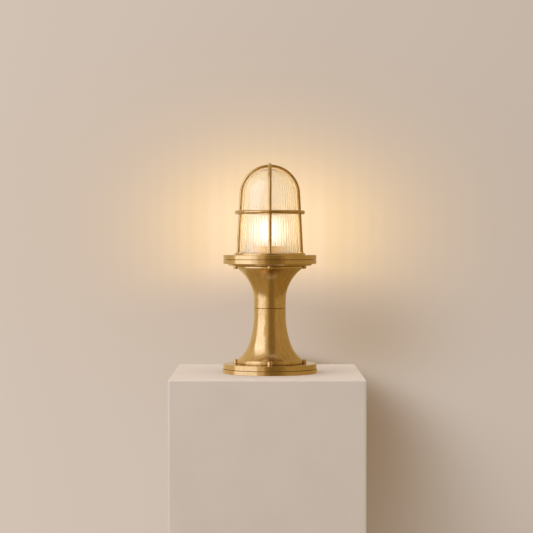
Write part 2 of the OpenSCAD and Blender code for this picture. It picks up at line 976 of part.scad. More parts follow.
module gland_nut() {
    z0 = z_plate + gland_flange_h + 0.2;
    color("silver")
        translate([0, 0, z0])
            difference() {
                rotate_extrude()
                    polygon([
                        [0, 0], [gland_nut_r, 0], [gland_nut_r, gland_nut_h - gland_nut_cone],
                        [gland_nut_r - 3, gland_nut_h], [0, gland_nut_h]
                    ]);
                translate([0, 0, -1])
                    cylinder(r = gland_thread_r + fit, h = 6);
                translate([0, 0, -1])
                    cylinder(r = gland_socket_r, h = gland_seal_h + 0.8);
                translate([0, 0, -1])
                    cylinder(r = cable_bore / 2 + 0.6, h = far);
            }
}

// Places one copy at each pole of the terminal block
module at_poles() {
    for (side = [-1, 1])
        translate([block_at[0], block_at[1] + side * pole_y, z_plate])
            children();
}

module terminal_block() {
    color("ivory")
        difference() {
            translate([block_at[0] - block_size[0] / 2, block_at[1] - block_size[1] / 2, z_plate])
                cube(block_size);
            at_poles() {
                translate([-far / 2, 0, 6.4])
                    rotate([0, 90, 0])
                        cylinder(r = 2.6, h = far);
                for (x = [-4.4, 4.4])
                    translate([x, 0, 6.4])
                        cylinder(r = 2.1, h = far);
            }
            translate([block_at[0], block_at[1], 0])
                cylinder(r = small_r + 0.1, h = far);
            translate([block_at[0], block_at[1], z_plate + 7])
                cylinder(r = 2.3, h = far);
        }
}

// Screw that holds the terminal block on the floor plate
module block_screw() {
    color("silver")
        translate([block_at[0], block_at[1], z_plate + 7])
            slotted_screw(small_r - 0.02, 2.2, 1.6, 7 + base_t - 2.2, 0.7);
}

// Brass tubes that clamp the leads
module terminal_clamps() {
    color(bright_brass)
        at_poles()
            difference() {
                translate([-7, 0, 6.4])
                    rotate([0, 90, 0])
                        cylinder(r = 2.55, h = 14);
                translate([-8, 0, 6.4])
                    rotate([0, 90, 0])
                        cylinder(r = lead_d / 2 + 0.1, h = 16);
                for (x = [-4.4, 4.4])
                    translate([x, 0, 6.4])
                        cylinder(r = 1.25, h = 6);
            }
}

module terminal_screws() {
    color(bright_brass)
        at_poles()
            for (x = [-4.4, 4.4])
                translate([x, 0, 9.4])
                    slotted_screw(1.22, 2, 1.4, 3 - lead_d / 2 - 0.1, 0.6);
}

module earth_stud() {
    color(bright_brass)
        translate([earth_at[0], earth_at[1], 1.4])
            cylinder(r = 1.98, h = 16);
}

module earth_nut() {
    color(bright_brass)
        translate([earth_at[0], earth_at[1], z_plate + 1])
            hex_nut(7, 3.2, 2.03);
}

// Ring tag under the earth nut, with the barrel that grips the lead
module earth_tag() {
    color("silver")
        translate([earth_at[0], earth_at[1], z_plate])
            difference() {
                union() {
                    cylinder(r = 4, h = 1);
                    rotate([0, 0, -45])
                        translate([0, -1.6, 0])
                            cube([8.5, 3.2, 1]);
                }
                translate([0, 0, -1])
                    cylinder(r = 2.03, h = 3);
            }
}

// Point on a smooth curve through p1 and p2
function on_curve(p0, p1, p2, p3, t) =
    0.5 * (2 * p1 + (p2 - p0) * t + (2 * p0 - 5 * p1 + 4 * p2 - p3) * t * t
        + (3 * p1 - p0 - 3 * p2 + p3) * t * t * t);

// Route with steps points on each span of a list of points
function smooth(p, steps) = [
    for (i = [0 : len(p) - 2])
        for (k = [0 : steps - (i == len(p) - 2 ? 0 : 1)])
            on_curve(p[max(i - 1, 0)], p[i], p[i + 1], p[min(i + 2, len(p) - 1)], k / steps)
];

function unit(v) = v / norm(v);

// Round tube of radius r along points, its rings square to the way it runs
module tube(points, r, sides = 8) {
    n = len(points);
    rings = [
        for (i = [0 : n - 1])
            let (
                along = unit(points[min(i + 1, n - 1)] - points[max(i - 1, 0)]),
                side = unit(cross(along, [0, 1, 0.001])),
                up = cross(side, along)
            )
            for (k = [0 : sides - 1])
                points[i] + r * (cos(k * 360 / sides) * side + sin(k * 360 / sides) * up)
    ];
    walls = [
        for (i = [0 : n - 2])
            for (k = [0 : sides - 1])
                let (a = i * sides + k, b = i * sides + (k + 1) % sides)
                for (face = [[a, b + sides, b], [a, a + sides, b + sides]])
                    face
    ];
    first = [for (k = [1 : sides - 2]) [0, k, k + 1]];
    last = [for (k = [1 : sides - 2]) [(n - 1) * sides, (n - 1) * sides + k + 1, (n - 1) * sides + k]];
    polyhedron(points = rings, faces = concat(walls, first, last));
}

z_clamp = z_plate + 6.4;
z_into_nipple = z_bracket - nipple_nut_h - 4;
z_pillar = z_porcelain - pillar_h / 2;

// Height at share f of the way from the floor plate to the bracket
function up(f) = z_plate + f * (z_bracket - z_plate);

// Route of a lead from the terminal block to the lampholder; side is -1 for live, 1 for neutral
function feed(side, wire) = concat(
    [
        [block_at[0] - 2, side * pole_y, z_clamp], [block_at[0] - 6.5, side * pole_y, z_clamp],
        [block_at[0] - 8.6, side * pole_y, z_clamp + 0.1], [block_at[0] - 11.6, side * 5.2, z_clamp + 3]
    ],
    wire,
    [
        [-1.4 * side, 0, z_into_nipple + 7], [-1.4 * side, 0, z_holder_foot + 1],
        [-2.6 * side, 0, z_pillar - 1.3], [-4.6 * side, 0, z_pillar - 0.2],
        [-6.2 * side, 0, z_pillar],
        [-(pillar_x + 1) * side, 0, z_pillar]
    ]
);

module live_lead() {
    color("saddlebrown")
        tube(smooth(feed(-1, [
            [14, -4, up(0.184)], [9, -3, up(0.381)], [8, -2.5, up(0.594)], [8, -2, up(0.776)],
            [1.8, -0.6, z_into_nipple]
        ]), 4), lead_d / 2);
}

module neutral_lead() {
    color("royalblue")
        tube(smooth(feed(1, [
            [14, 4, up(0.184)], [8, 3, up(0.381)], [6, 2.5, up(0.594)], [5, 2.4, up(0.776)],
            [-1, 1, z_into_nipple]
        ]), 4), lead_d / 2);
}

module earth_lead() {
    solder = lead_d / 2 + 1.05;
    color("olivedrab")
        tube(smooth([
            [earth_at[0] + 4, earth_at[1] - 4, z_plate + solder],
            [earth_at[0] + 6.2, earth_at[1] - 6.2, z_plate + solder + 0.2],
            [earth_at[0] + 7.6, earth_at[1] - 7.8, z_plate + solder + 2.4],
            [-12, 11, up(0.123)], [-9, 8, up(0.29)], [-7, 4, up(0.503)], [-8, 2, up(0.746)],
            [-14, 1, up(0.897)], [-bracket_tag_x - 3.6, 0, z_bracket - 5],
            [-bracket_tag_x - 4.4, 0, z_bracket - tag_t - 0.05]
        ], 4), lead_d / 2);
}

base_plate();
base_gasket();
base_ring();
lower_column();
lower_lug_screws();
neck_coupling();
upper_column();
upper_lug_screws();
column_gasket();
gallery();
ring_seal();
glass_seat();
glass_dome();
slip_washer();
guard_ring();
guard_bar_side();
guard_bar_front();
guard_hoop();
holder_bracket();
bracket_screws();
holder_nipple();
nipple_nut();
holder_cap();
holder_skirt();
holder_porcelain();
holder_screw_shell();
holder_centre_contact();
holder_terminals();
holder_terminal_screws();
bulb_tip();
bulb_insulator();
bulb_cap();
bulb_globe();
bulb_stem();
bulb_filaments();
bulb_lead_wires();
gland_body();
gland_seal();
gland_nut();
terminal_block();
block_screw();
terminal_clamps();
terminal_screws();
earth_stud();
earth_nut();
earth_tag();
bracket_earth_tag();
bracket_earth_screw();
live_lead();
neutral_lead();
earth_lead();
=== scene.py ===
"""Brass post lantern: the visible pieces, their finishes and the stage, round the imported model.

Lengths are in metres, +Z is up, and the origin is the centre of the foot's underside.
Each new piece is a surface of two parameters, worked out on a numpy grid.
"""

import json
import math

import bmesh
import bpy
import numpy as np
from bpy.props import FloatProperty, FloatVectorProperty, IntProperty, PointerProperty
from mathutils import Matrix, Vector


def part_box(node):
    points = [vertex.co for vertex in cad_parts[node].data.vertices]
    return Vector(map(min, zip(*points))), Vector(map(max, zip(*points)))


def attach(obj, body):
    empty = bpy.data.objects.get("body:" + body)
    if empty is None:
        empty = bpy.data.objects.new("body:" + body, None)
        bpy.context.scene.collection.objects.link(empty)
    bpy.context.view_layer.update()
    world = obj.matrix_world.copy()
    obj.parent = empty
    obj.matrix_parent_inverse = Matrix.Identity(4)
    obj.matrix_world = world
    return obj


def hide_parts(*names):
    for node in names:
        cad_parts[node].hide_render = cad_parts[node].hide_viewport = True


bl_info = {
    "name": "Brass Post Lantern",
    "version": (1, 0, 0),
    "blender": (4, 5, 0),
    "location": "View3D > Sidebar > Lantern",
    "description": "Builds a brass post lantern with its finishes and a plain stage",
    "category": "Add Mesh",
}

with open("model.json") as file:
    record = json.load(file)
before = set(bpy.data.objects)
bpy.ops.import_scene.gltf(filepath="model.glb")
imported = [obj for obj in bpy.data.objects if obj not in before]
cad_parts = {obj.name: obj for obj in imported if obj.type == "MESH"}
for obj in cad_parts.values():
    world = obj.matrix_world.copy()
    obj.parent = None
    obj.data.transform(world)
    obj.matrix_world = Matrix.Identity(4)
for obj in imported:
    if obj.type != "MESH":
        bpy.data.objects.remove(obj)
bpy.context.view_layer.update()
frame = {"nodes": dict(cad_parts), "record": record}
BOX = {name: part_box(name) for name in frame["nodes"]}
MM = 0.001


def foot(node):
    """Height of a CAD node's lowest point."""
    return BOX[node][0].z


def crown(node):
    """Height of a CAD node's highest point."""
    return BOX[node][1].z


def reach(node):
    """Largest X of a CAD node, which is the outer radius of a turned one."""
    return BOX[node][1].x


# Sizes and colours that a user would change


def length(name, description, default):
    """Length property in metres."""
    return FloatProperty(name=name, description=description, default=default, unit="LENGTH",
                         precision=5, min=0)


def angle(name, description, degrees):
    """Angle property, its default given in degrees."""
    return FloatProperty(name=name, description=description, default=math.radians(degrees),
                         subtype="ANGLE")


def colour(name, description, default):
    """Colour property."""
    return FloatVectorProperty(name=name, description=description, default=default, size=3,
                               subtype="COLOR", min=0, max=1)


def factor(name, description, default, most=1):
    """Plain number property."""
    return FloatProperty(name=name, description=description, default=default, min=0, max=most)


class LanternColumn(bpy.types.PropertyGroup):
    """Sizes of the foot and the column"""

    chamfer: length("Disc chamfer", "Chamfer on the turned edges of the discs", 0.3 * MM)
    hole_r: length("Bolt hole radius", "Radius of the floor bolt holes", 2.9 * MM)
    hole_circle: length("Bolt circle radius", "Radius of the floor bolt circle", 34 * MM)
    neck_r: length("Neck radius", "Outer radius of the neck", 23.5 * MM)
    wall: length("Casting wall", "Wall of both column castings", 3.5 * MM)
    rim_r: length("Rim radius", "Outer radius of the rounded rims", 49 * MM)
    rim_bore_r: length("Rim bore radius", "Radius of the bore in the rims", 43 * MM)
    slow_r: length("Slow bend radius", "Radius of the slow bend below the neck", 130 * MM)
    slow_sweep: angle("Slow bend sweep", "Angle that the slow bend turns through", 19.7)
    quick_r: length("Quick bend radius", "Radius of the quick bend above the foot", 49.4 * MM)
    upper_r: length("Upper bend radius", "Radius of the bend below the lamp head", 59.2 * MM)
    lower_rim_h: length("Lower rim height", "Height of the rim at the foot", 6.6 * MM)
    upper_rim_h: length("Upper rim height", "Height of the rim under the head", 4.2 * MM)
    lower_over: length("Lower rim step", "How far the lower rim stands out", 2.2 * MM)
    upper_over: length("Upper rim step", "How far the upper rim stands out", 1.4 * MM)
    lower_seam: length("Lower seam edge", "Chamfer on top of the lower casting", 0.9 * MM)
    upper_seam: length("Upper seam edge", "Chamfer under the upper casting", 0.3 * MM)
    lug_r: length("Lug radius", "Radius of the round lugs on the rims", 4.1 * MM)
    lug_out: length("Lug circle radius", "Distance of the lugs from the axis", 50.1 * MM)
    head_r: length("Screw head radius", "Radius of the lug screw heads", 3.7 * MM)
    head_h: length("Screw head height", "Height of the lug screw heads", 1.7 * MM)
    slot_w: length("Screw slot width", "Width of the slots in the screw heads", 1 * MM)


class LanternHead(bpy.types.PropertyGroup):
    """Sizes of the lamp head, its guard and its glass"""

    step_r: length("Step radius", "Radius of the step under the gallery", 63.3 * MM)
    step_t: length("Step thickness", "Thickness of the step under the gallery", 2.6 * MM)
    disc_t: length("Gallery thickness", "Thickness of the gallery disc", 6.2 * MM)
    ring_t: length("Guard ring thickness", "Thickness of the guard ring", 6.4 * MM)
    opening_r: length("Opening radius", "Radius of the opening in the gallery", 29.5 * MM)
    pocket_r: length("Pocket radius", "Radius of the gallery's inner pocket", 39.3 * MM)
    thread_r: length("Thread radius", "Radius of the gallery's threaded collar", 54 * MM)
    collar_r: length("Collar radius", "Radius of the guard ring's raised collar", 52.6 * MM)
    collar_t: length("Collar height", "Height of the raised collar", 2.6 * MM)
    collar_bore_r: length("Collar bore radius", "Radius of the collar's bore", 44.2 * MM)
    bar_r: length("Bar radius", "Radius of the guard bars", 2.5 * MM)
    arch_r: length("Arch radius", "Radius of the arch to the middle of the bar", 42.4 * MM)
    lean: angle("Leg lean", "Lean of the guard's legs and of the glass", 3)
    crown_rise: length("Crown rise", "How far the front bar rides over the side bar", 2.4 * MM)
    braze: length("Braze fillet", "Size of the braze fillets at the guard's joints", 1.3 * MM)
    glass_wall: length("Glass wall", "Wall of the glass dome at its ribs", 3.4 * MM)
    glass_gap: length("Glass gap", "Gap between the glass and the bars", 1.1 * MM)
    ribs: IntProperty(name="Ribs", description="Number of ribs inside the glass", default=56)
    groove: length("Groove depth", "Depth of the grooves between the ribs", 0.65 * MM)


class LanternFinish(bpy.types.PropertyGroup):
    """Colours and finishes"""

    brass: colour("Brass", "Colour of the polished brass", (0.68, 0.50, 0.27))
    aged: colour("Aged brass", "Colour where the brass has darkened", (0.46, 0.33, 0.13))
    bright: colour("Bright brass", "Colour of screws and turned inner parts", (0.80, 0.62, 0.36))
    # A darker copy of the brass: it paints the shade on the guard's thin bars.
    rod: colour("Rod brass", "Colour of the guard's darker brass", (0.66, 0.48, 0.24))
    disc_rough: factor("Disc roughness", "Roughness of the turned discs", 0.17)
    cast_rough: factor("Casting roughness", "Roughness of the polished castings", 0.2)
    rod_rough: factor("Rod roughness", "Roughness of the guard's rod", 0.16)
    glass: colour("Glass", "Tint of the clear glass", (1.0, 0.965, 0.89))
    deep: colour("Deep glass", "Tint of the glass at glancing angles", (1.0, 0.905, 0.66))
    milky: factor("Bloom on the glass", "Share of light that the glass scatters", 0.1)
    glow: colour("Glow", "Colour of the lamp's light", (1.0, 0.89, 0.77))
    globe_power: factor("Globe glow", "Strength of the globe's own light", 0.5, 100)
    rod_power: factor("Rod glow", "Strength of the light rods", 31, 1000)


class LanternStage(bpy.types.PropertyGroup):
    """Camera, lights and floor"""

    wall: colour("Wall", "Colour behind the lantern", (0.604, 0.508, 0.428))
    room: colour("Room", "Colour of the wall further out to both sides", (1.0, 0.80, 0.56))
    # Painted lamp light on the wall: the lamp-lit wall colour, the halo and the thrown light are
    # colours that stand in for the lamp's light.
    lamp_lit_wall: colour("Warmed wall", "Colour of the wall round the lamp", (0.606, 0.467, 0.358))
    halo: colour("Halo", "Light that the lamp adds to the wall behind it", (0.55, 0.34, 0.06))
    thrown: colour("Thrown light", "Halo close beside the dome", (0.555, 0.355, 0.135))
    floor: colour("Floor", "Colour of the block that the lantern stands on", (0.665, 0.570, 0.485))
    # Painted reflections: the flag and amber cards are seen only in the brass, as shade behind the
    # camera and as a warm lit room.
    flag: colour("Flag", "Colour of the dark card behind the camera", (0.49, 0.31, 0.075))
    amber: colour("Amber card", "Colour of the card on the right", (0.66, 0.465, 0.18))
    world_light: factor("World light", "Strength of the even light from all round", 0.72, 5)
    top_light: factor("Top light", "Power of the soft light overhead in watts", 8.5, 500)
    low_box: factor("Low softbox", "Brightness of the softbox's lower part", 1.08, 50)
    high_box: factor("High softbox", "Brightness of the softbox's upper part", 1.38, 50)
    far_off: length("Camera distance", "Distance from the camera to the axis", 2.526)
    eye: length("Camera height", "Height of the camera over the foot's underside", 0.192)
    tilt: angle("Camera tilt", "How far the camera looks down", 0.79)
    lens_px: factor("Focal length", "Focal length in pixels of the picture", 1705, 9999)


PICTURE_PX = 533
SENSOR_MM = 36


# Shapes: outlines, grids and surfaces


def units(vectors):
    """Vectors divided by their own lengths."""
    return vectors / np.linalg.norm(vectors, axis=-1, keepdims=True)


def rounded(corners, closed=True, steps=6, hold=0.04 * MM):
    """Outline (radius, height) through corners (radius, height, rounding).

    Each corner becomes an arc that touches both of its sides. The arc starts and ends at
    rounding / tan(half the corner's angle) from the corner, and its middle lies at
    rounding / sin(half the angle) along the bisector. A point just outside each end keeps
    the faces beside it flat in shading.
    """
    corners = np.asarray(corners, float)
    points, radius = corners[:, :2], corners[:, 2:]
    back = units(np.roll(points, 1, axis=0) - points)
    ahead = units(np.roll(points, -1, axis=0) - points)
    half = 0.5 * np.arccos(np.clip(np.sum(back * ahead, axis=1, keepdims=True), -1, 1))
    start = points + back * radius / np.tan(half)
    end = points + ahead * radius / np.tan(half)
    middle = points + units(back + ahead + 1e-12) * radius / np.sin(half)
    first, last = ((p - middle) for p in (start, end))
    angle0 = np.arctan2(first[:, 1:], first[:, :1])
    turn = np.arctan2(last[:, 1:], last[:, :1]) - angle0
    turn = (turn + np.pi) % (2 * np.pi) - np.pi
    swing = angle0 + turn * np.linspace(0, 1, steps)
    arcs = middle[:, None] + radius[:, None] * np.stack([np.cos(swing), np.sin(swing)], axis=-1)
    groups = np.concatenate(
        [(start + back * hold)[:, None], arcs, (end + ahead * hold)[:, None]], axis=1)
    if not closed:
        return np.vstack([points[:1], groups[1:-1].reshape(-1, 2), points[-1:]])
    return groups.reshape(-1, 2)


def arc(centre, radius, start, end, steps):
    """Outline points of an arc: centre + radius (cos a, sin a), a from start to end."""
    a = np.linspace(start, end, steps)
    return np.asarray(centre) + radius * np.stack([np.cos(a), np.sin(a)], axis=1)


def lathe(outline, turns, closed=True):
    """Outline turned round Z: x = r cos a, y = r sin a, z = h.

    r may be one number for each outline point, or one for each point and each angle a.
    """
    a = np.arange(turns) * (2 * np.pi / turns)
    r, h = outline
    r = r.reshape(len(h), -1)
    points = np.stack(np.broadcast_arrays(r * np.cos(a), r * np.sin(a), h[:, None]), axis=-1)
    return points, closed, True


def turned(outline, turns=192, closed=True):
    """Lathe surface of an outline given as rows of (radius, height)."""
    return lathe((outline[:, 0], outline[:, 1]), turns, closed)


def stick(corners, turns=48):
    """Turned solid whose outline starts and ends on the axis."""
    return turned(rounded(corners, closed=False), turns, closed=False)


def tube(path, across, radius, sides=32):
    """Round rod along a flat path of points, closed at its ends.

    point = path + radius (cos b * side + sin b * across), where across stands square to the
    path's plane and side is square to both the path and across.
    """
    along = units(np.gradient(path, axis=0))
    side = np.cross(along, across)
    b = np.arange(sides) * (2 * np.pi / sides)
    ring = side[:, None] * np.cos(b)[:, None] + np.asarray(across) * np.sin(b)[:, None]
    points = path[:, None] + np.asarray(radius).reshape(-1, 1, 1) * ring
    ends = [np.repeat(path[i][None, None], sides, axis=1) for i in (0, -1)]
    return np.concatenate([ends[0], points, ends[1]]), False, True


def moved(surface, at=(0, 0, 0), turn=0, flip=False):
    """Surface turned over if asked, turned round Z by an angle and moved."""
    points, wrap_rows, wrap_columns = surface
    c, s = math.cos(turn), math.sin(turn)
    points = points * np.array([1, 1, -1 if flip else 1])
    spin = np.array([[c, s, 0], [-s, c, 0], [0, 0, 1]])
    return points @ spin + np.asarray(at, float), wrap_rows, wrap_columns


def grid_faces(rows, columns, wrap_rows, wrap_columns):
    """Quads of a grid, its points stored row after row."""
    i, j = np.meshgrid(np.arange(rows - (not wrap_rows)), np.arange(columns - (not wrap_columns)),
                       indexing="ij")
    i1, j1 = (i + 1) % rows, (j + 1) % columns
    corners = [i * columns + j, i * columns + j1, i1 * columns + j1, i1 * columns + j]
    return np.stack(corners, axis=-1).reshape(-1, 4)


def mesh_object(name, surfaces, finish):
    """Smooth mesh object of one or more grids, welded where their points meet."""
    points, faces, count = [], [], 0
    for grid, wrap_rows, wrap_columns in surfaces:
        points.append(grid.reshape(-1, 3))
        faces.append(grid_faces(*grid.shape[:2], wrap_rows, wrap_columns) + count)
        count += len(points[-1])
    points, faces = np.concatenate(points), np.concatenate(faces)
    mesh = bpy.data.meshes.new(name)
    mesh.vertices.add(len(points))
    mesh.vertices.foreach_set("co", points.ravel())
    mesh.loops.add(faces.size)
    mesh.loops.foreach_set("vertex_index", faces.ravel())
    mesh.polygons.add(len(faces))
    mesh.polygons.foreach_set("loop_start", np.arange(0, faces.size, 4))
    mesh.update(calc_edges=True)
    welded = bmesh.new()
    welded.from_mesh(mesh)
    bmesh.ops.remove_doubles(welded, verts=welded.verts, dist=1e-7)
    bmesh.ops.recalc_face_normals(welded, faces=welded.faces)
    welded.to_mesh(mesh)
    welded.free()
    mesh.shade_smooth()
    mesh.materials.append(finish)
    piece = bpy.data.objects.new(name, mesh)
    bpy.context.scene.collection.objects.link(piece)
    return piece


def add_piece(name, surfaces, finish, body, slot, *nodes):
    """Piece that rides on a body, takes the finish it is given and stands for CAD nodes, which it
    hides.
    """
    piece = mesh_object(name, surfaces, finish)
    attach(piece, body)
    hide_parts(*nodes)
    return piece


# Finishes


class Nodes:
    """Short way to write a material's or the world's nodes."""

    def __init__(self, owner):
        owner.use_nodes = True
        self.tree = owner.node_tree
        self.tree.nodes.clear()

    def add(self, kind, sockets=(), **settings):
        """New node: settings are its own, and sockets are (name, value or output) pairs."""
        node = self.tree.nodes.new("ShaderNode" + kind)
        for key, value in settings.items():
            setattr(node, key, value)
        for name, value in sockets:
            socket = node.inputs[name]
            if isinstance(value, bpy.types.NodeSocket):
                self.tree.links.new(value, socket)
            else:
                socket.default_value = value
        return node

    def noise(self, vector, scale, detail=4, roughness=0.55):
        """Smooth noise from 0 to 1."""
        return self.add("TexNoise", [("Vector", vector), ("Scale", scale), ("Detail", detail),
                                     ("Roughness", roughness)]).outputs["Fac"]

    def ranged(self, value, low, high, to_low, to_high):
        """Value moved from one range to another, and kept inside it."""
        return self.add("MapRange", [("Value", value), ("From Min", low), ("From Max", high),
                                     ("To Min", to_low), ("To Max", to_high)]).outputs["Result"]

    def math(self, operation, *values):
        """Arithmetic on one or two values."""
        return self.add("Math", list(enumerate(values)), operation=operation).outputs[0]

    def mixed(self, share, first, second):
        """Colour between two colours."""
        node = self.add("Mix", data_type="RGBA")
        for socket, value in zip((node.inputs[0], node.inputs[6], node.inputs[7]),
                                 (share, first, second)):
            if isinstance(value, bpy.types.NodeSocket):
                self.tree.links.new(value, socket)
            else:
                socket.default_value = value
        return node.outputs[2]

    def bump(self, height, strength, distance):
        """Normal from a height."""
        return self.add("Bump", [("Height", height), ("Strength", strength),
                                 ("Distance", distance)]).outputs["Normal"]

    def place(self):
        """Object coordinates."""
        return self.add("TexCoord").outputs["Object"]

    def end(self, shader):
        """Links a shader to the material's output."""
        self.add("OutputMaterial", [("Surface", shader.outputs[0])])


def opaque(rgb):
    """Colour with full alpha."""
    return (*rgb, 1)


def scaled(rgb, share):
    """Colour made darker or lighter."""
    return tuple(c * share for c in rgb)


def new_material(name):
    """Empty material and its nodes."""
    material = bpy.data.materials.new(name)
    return material, Nodes(material)


def brass_finish(name, bright, dark, rough, lines, patches=1.0, streaks=False):
    """Satin brass: slow patches of darker metal, cloudy roughness and fine turned lines.

    The lines are noise read at (distance from the axis, height), so they run round the
    piece, on its flat faces as on its edges. The streaks are noise read at the point
    (x / r, y / r, z / 120 mm), drawn out along the height as a polishing belt leaves them.
    """
    material, n = new_material(name)
    place = n.place()
    x, y, z = n.add("SeparateXYZ", [("Vector", place)]).outputs
    out = n.math("SQRT", n.math("ADD", n.math("MULTIPLY", x, x), n.math("MULTIPLY", y, y)))
    rings = n.add("CombineXYZ", [("X", out), ("Y", 0.0), ("Z", z)]).outputs[0]
    slow = n.noise(place, 22, 5, 0.6)
    if streaks:
        drawn = n.add("CombineXYZ", [("X", n.math("DIVIDE", x, out)), ("Y", n.math("DIVIDE", y, out)),
                                     ("Z", n.math("DIVIDE", z, 120 * MM))]).outputs[0]
        fine = n.noise(drawn, 11, 4, 0.6)
    else:
        fine = n.noise(place, 300, 5, 0.6)
    drag = 0.65 if streaks else 0.45
    mottle = n.math("ADD", n.math("MULTIPLY", slow, 1 - drag), n.math("MULTIPLY", fine, drag))
    tarnish = n.ranged(mottle, 0.44, 0.70, 0, 0.8 * patches)
    cloud = n.ranged(n.math("ADD", n.math("MULTIPLY", n.noise(place, 45, 5, 0.6), 0.6),
                            n.math("MULTIPLY", fine, 0.4)), 0.3, 0.75, rough * 0.8, rough * 1.3)
    height = n.math("ADD", n.math("MULTIPLY", n.noise(rings, 2600, 2, 0.5), lines),
                    n.math("MULTIPLY", fine, 0.2 if streaks else 0.1))
    n.end(n.add("BsdfPrincipled", [
        ("Base Color", n.mixed(tarnish, opaque(bright), opaque(dark))),
        ("Metallic", 1.0), ("Roughness", cloud), ("Normal", n.bump(height, 0.12, 0.00006))]))
    return material


def plain_finish(name, rgb, rough, metallic=0.0, spots=0.12, grain=300, bump=0.1, **sockets):
    """One colour with a light mottle, a cloudy roughness and a fine grain."""
    material, n = new_material(name)
    place = n.place()
    mottle = n.noise(place, grain * 0.3, 4)
    n.end(n.add("BsdfPrincipled", [
        ("Base Color", n.mixed(n.ranged(mottle, 0.35, 0.7, 0, 1), opaque(rgb),
                               opaque(scaled(rgb, 1 - spots)))),
        ("Metallic", metallic),
        ("Roughness", n.ranged(n.noise(place, grain * 0.5, 3), 0.3, 0.7, rough * 0.85, rough * 1.15)),
        ("Normal", n.bump(n.noise(place, grain * 4, 2), bump, 0.0001)),
        *((key.replace("_", " "), value) for key, value in sockets.items())]))
    return material


def glass_finish(name, rgb, deep, rough, milky):
    """Clear glass with a thin film, and a veil at glancing angles that takes up the lamp's light."""
    material, n = new_material(name)
    place = n.place()
    facing = n.add("LayerWeight", [("Blend", 0.5)]).outputs["Facing"]
    tint = n.mixed(n.ranged(facing, 0.04, 0.5, 0, 1), opaque(rgb), opaque(deep))
    clear = n.add("BsdfPrincipled", [
        ("Base Color", tint), ("Roughness", rough), ("IOR", 1.45),
        ("Transmission Weight", 1.0), ("Coat Weight", 1.0), ("Coat Roughness", 0.12),
        ("Normal", n.bump(n.noise(place, 40, 2), 0.02, 0.0004))])
    film = n.add("BsdfDiffuse", [("Color", (0.98, 0.94, 0.86, 1))])
    cloudy = n.ranged(n.noise(place, 25, 3), 0.3, 0.7, milky * 0.8, milky * 1.2)
    edge = n.math("POWER", facing, 5.0)
    lit = n.math("ADD", n.math("MULTIPLY", cloudy, 0.5), n.math("MULTIPLY", edge, 0.85))
    amber = n.mixed(edge, (1.0, 0.86, 0.62, 1), (1.0, 0.66, 0.22, 1))
    veil = n.add("BsdfTranslucent", [("Color", amber)])
    hazy = n.add("MixShader", [(0, cloudy), (1, clear.outputs[0]), (2, film.outputs[0])])
    glass = n.add("MixShader", [(0, lit), (1, hazy.outputs[0]), (2, veil.outputs[0])])
    passing = n.add("BsdfTransparent", [("Color", opaque(scaled(rgb, 0.93)))])
    shadow = n.add("LightPath").outputs["Is Shadow Ray"]
    n.end(n.add("MixShader", [(0, shadow), (1, glass.outputs[0]), (2, passing.outputs[0])]))
    return material


def opal_finish(name, glow, power):
    """Frosted glass with a faint glow of its own, over the bright rods inside."""
    material, n = new_material(name)
    place = n.place()
    frosted = n.add("BsdfPrincipled", [
        ("Base Color", (0.24, 0.235, 0.22, 1)), ("IOR", 1.35), ("Transmission Weight", 1.0),
        ("Roughness", n.ranged(n.noise(place, 60, 3), 0.3, 0.7, 0.5, 0.6)),
        ("Emission Color", opaque(glow)), ("Emission Strength", power)])
    passing = n.add("BsdfTransparent", [("Color", (0.9, 0.87, 0.82, 1))])
    shadow = n.add("LightPath").outputs["Is Shadow Ray"]
    n.end(n.add("MixShader", [(0, shadow), (1, frosted.outputs[0]), (2, passing.outputs[0])]))
    return material


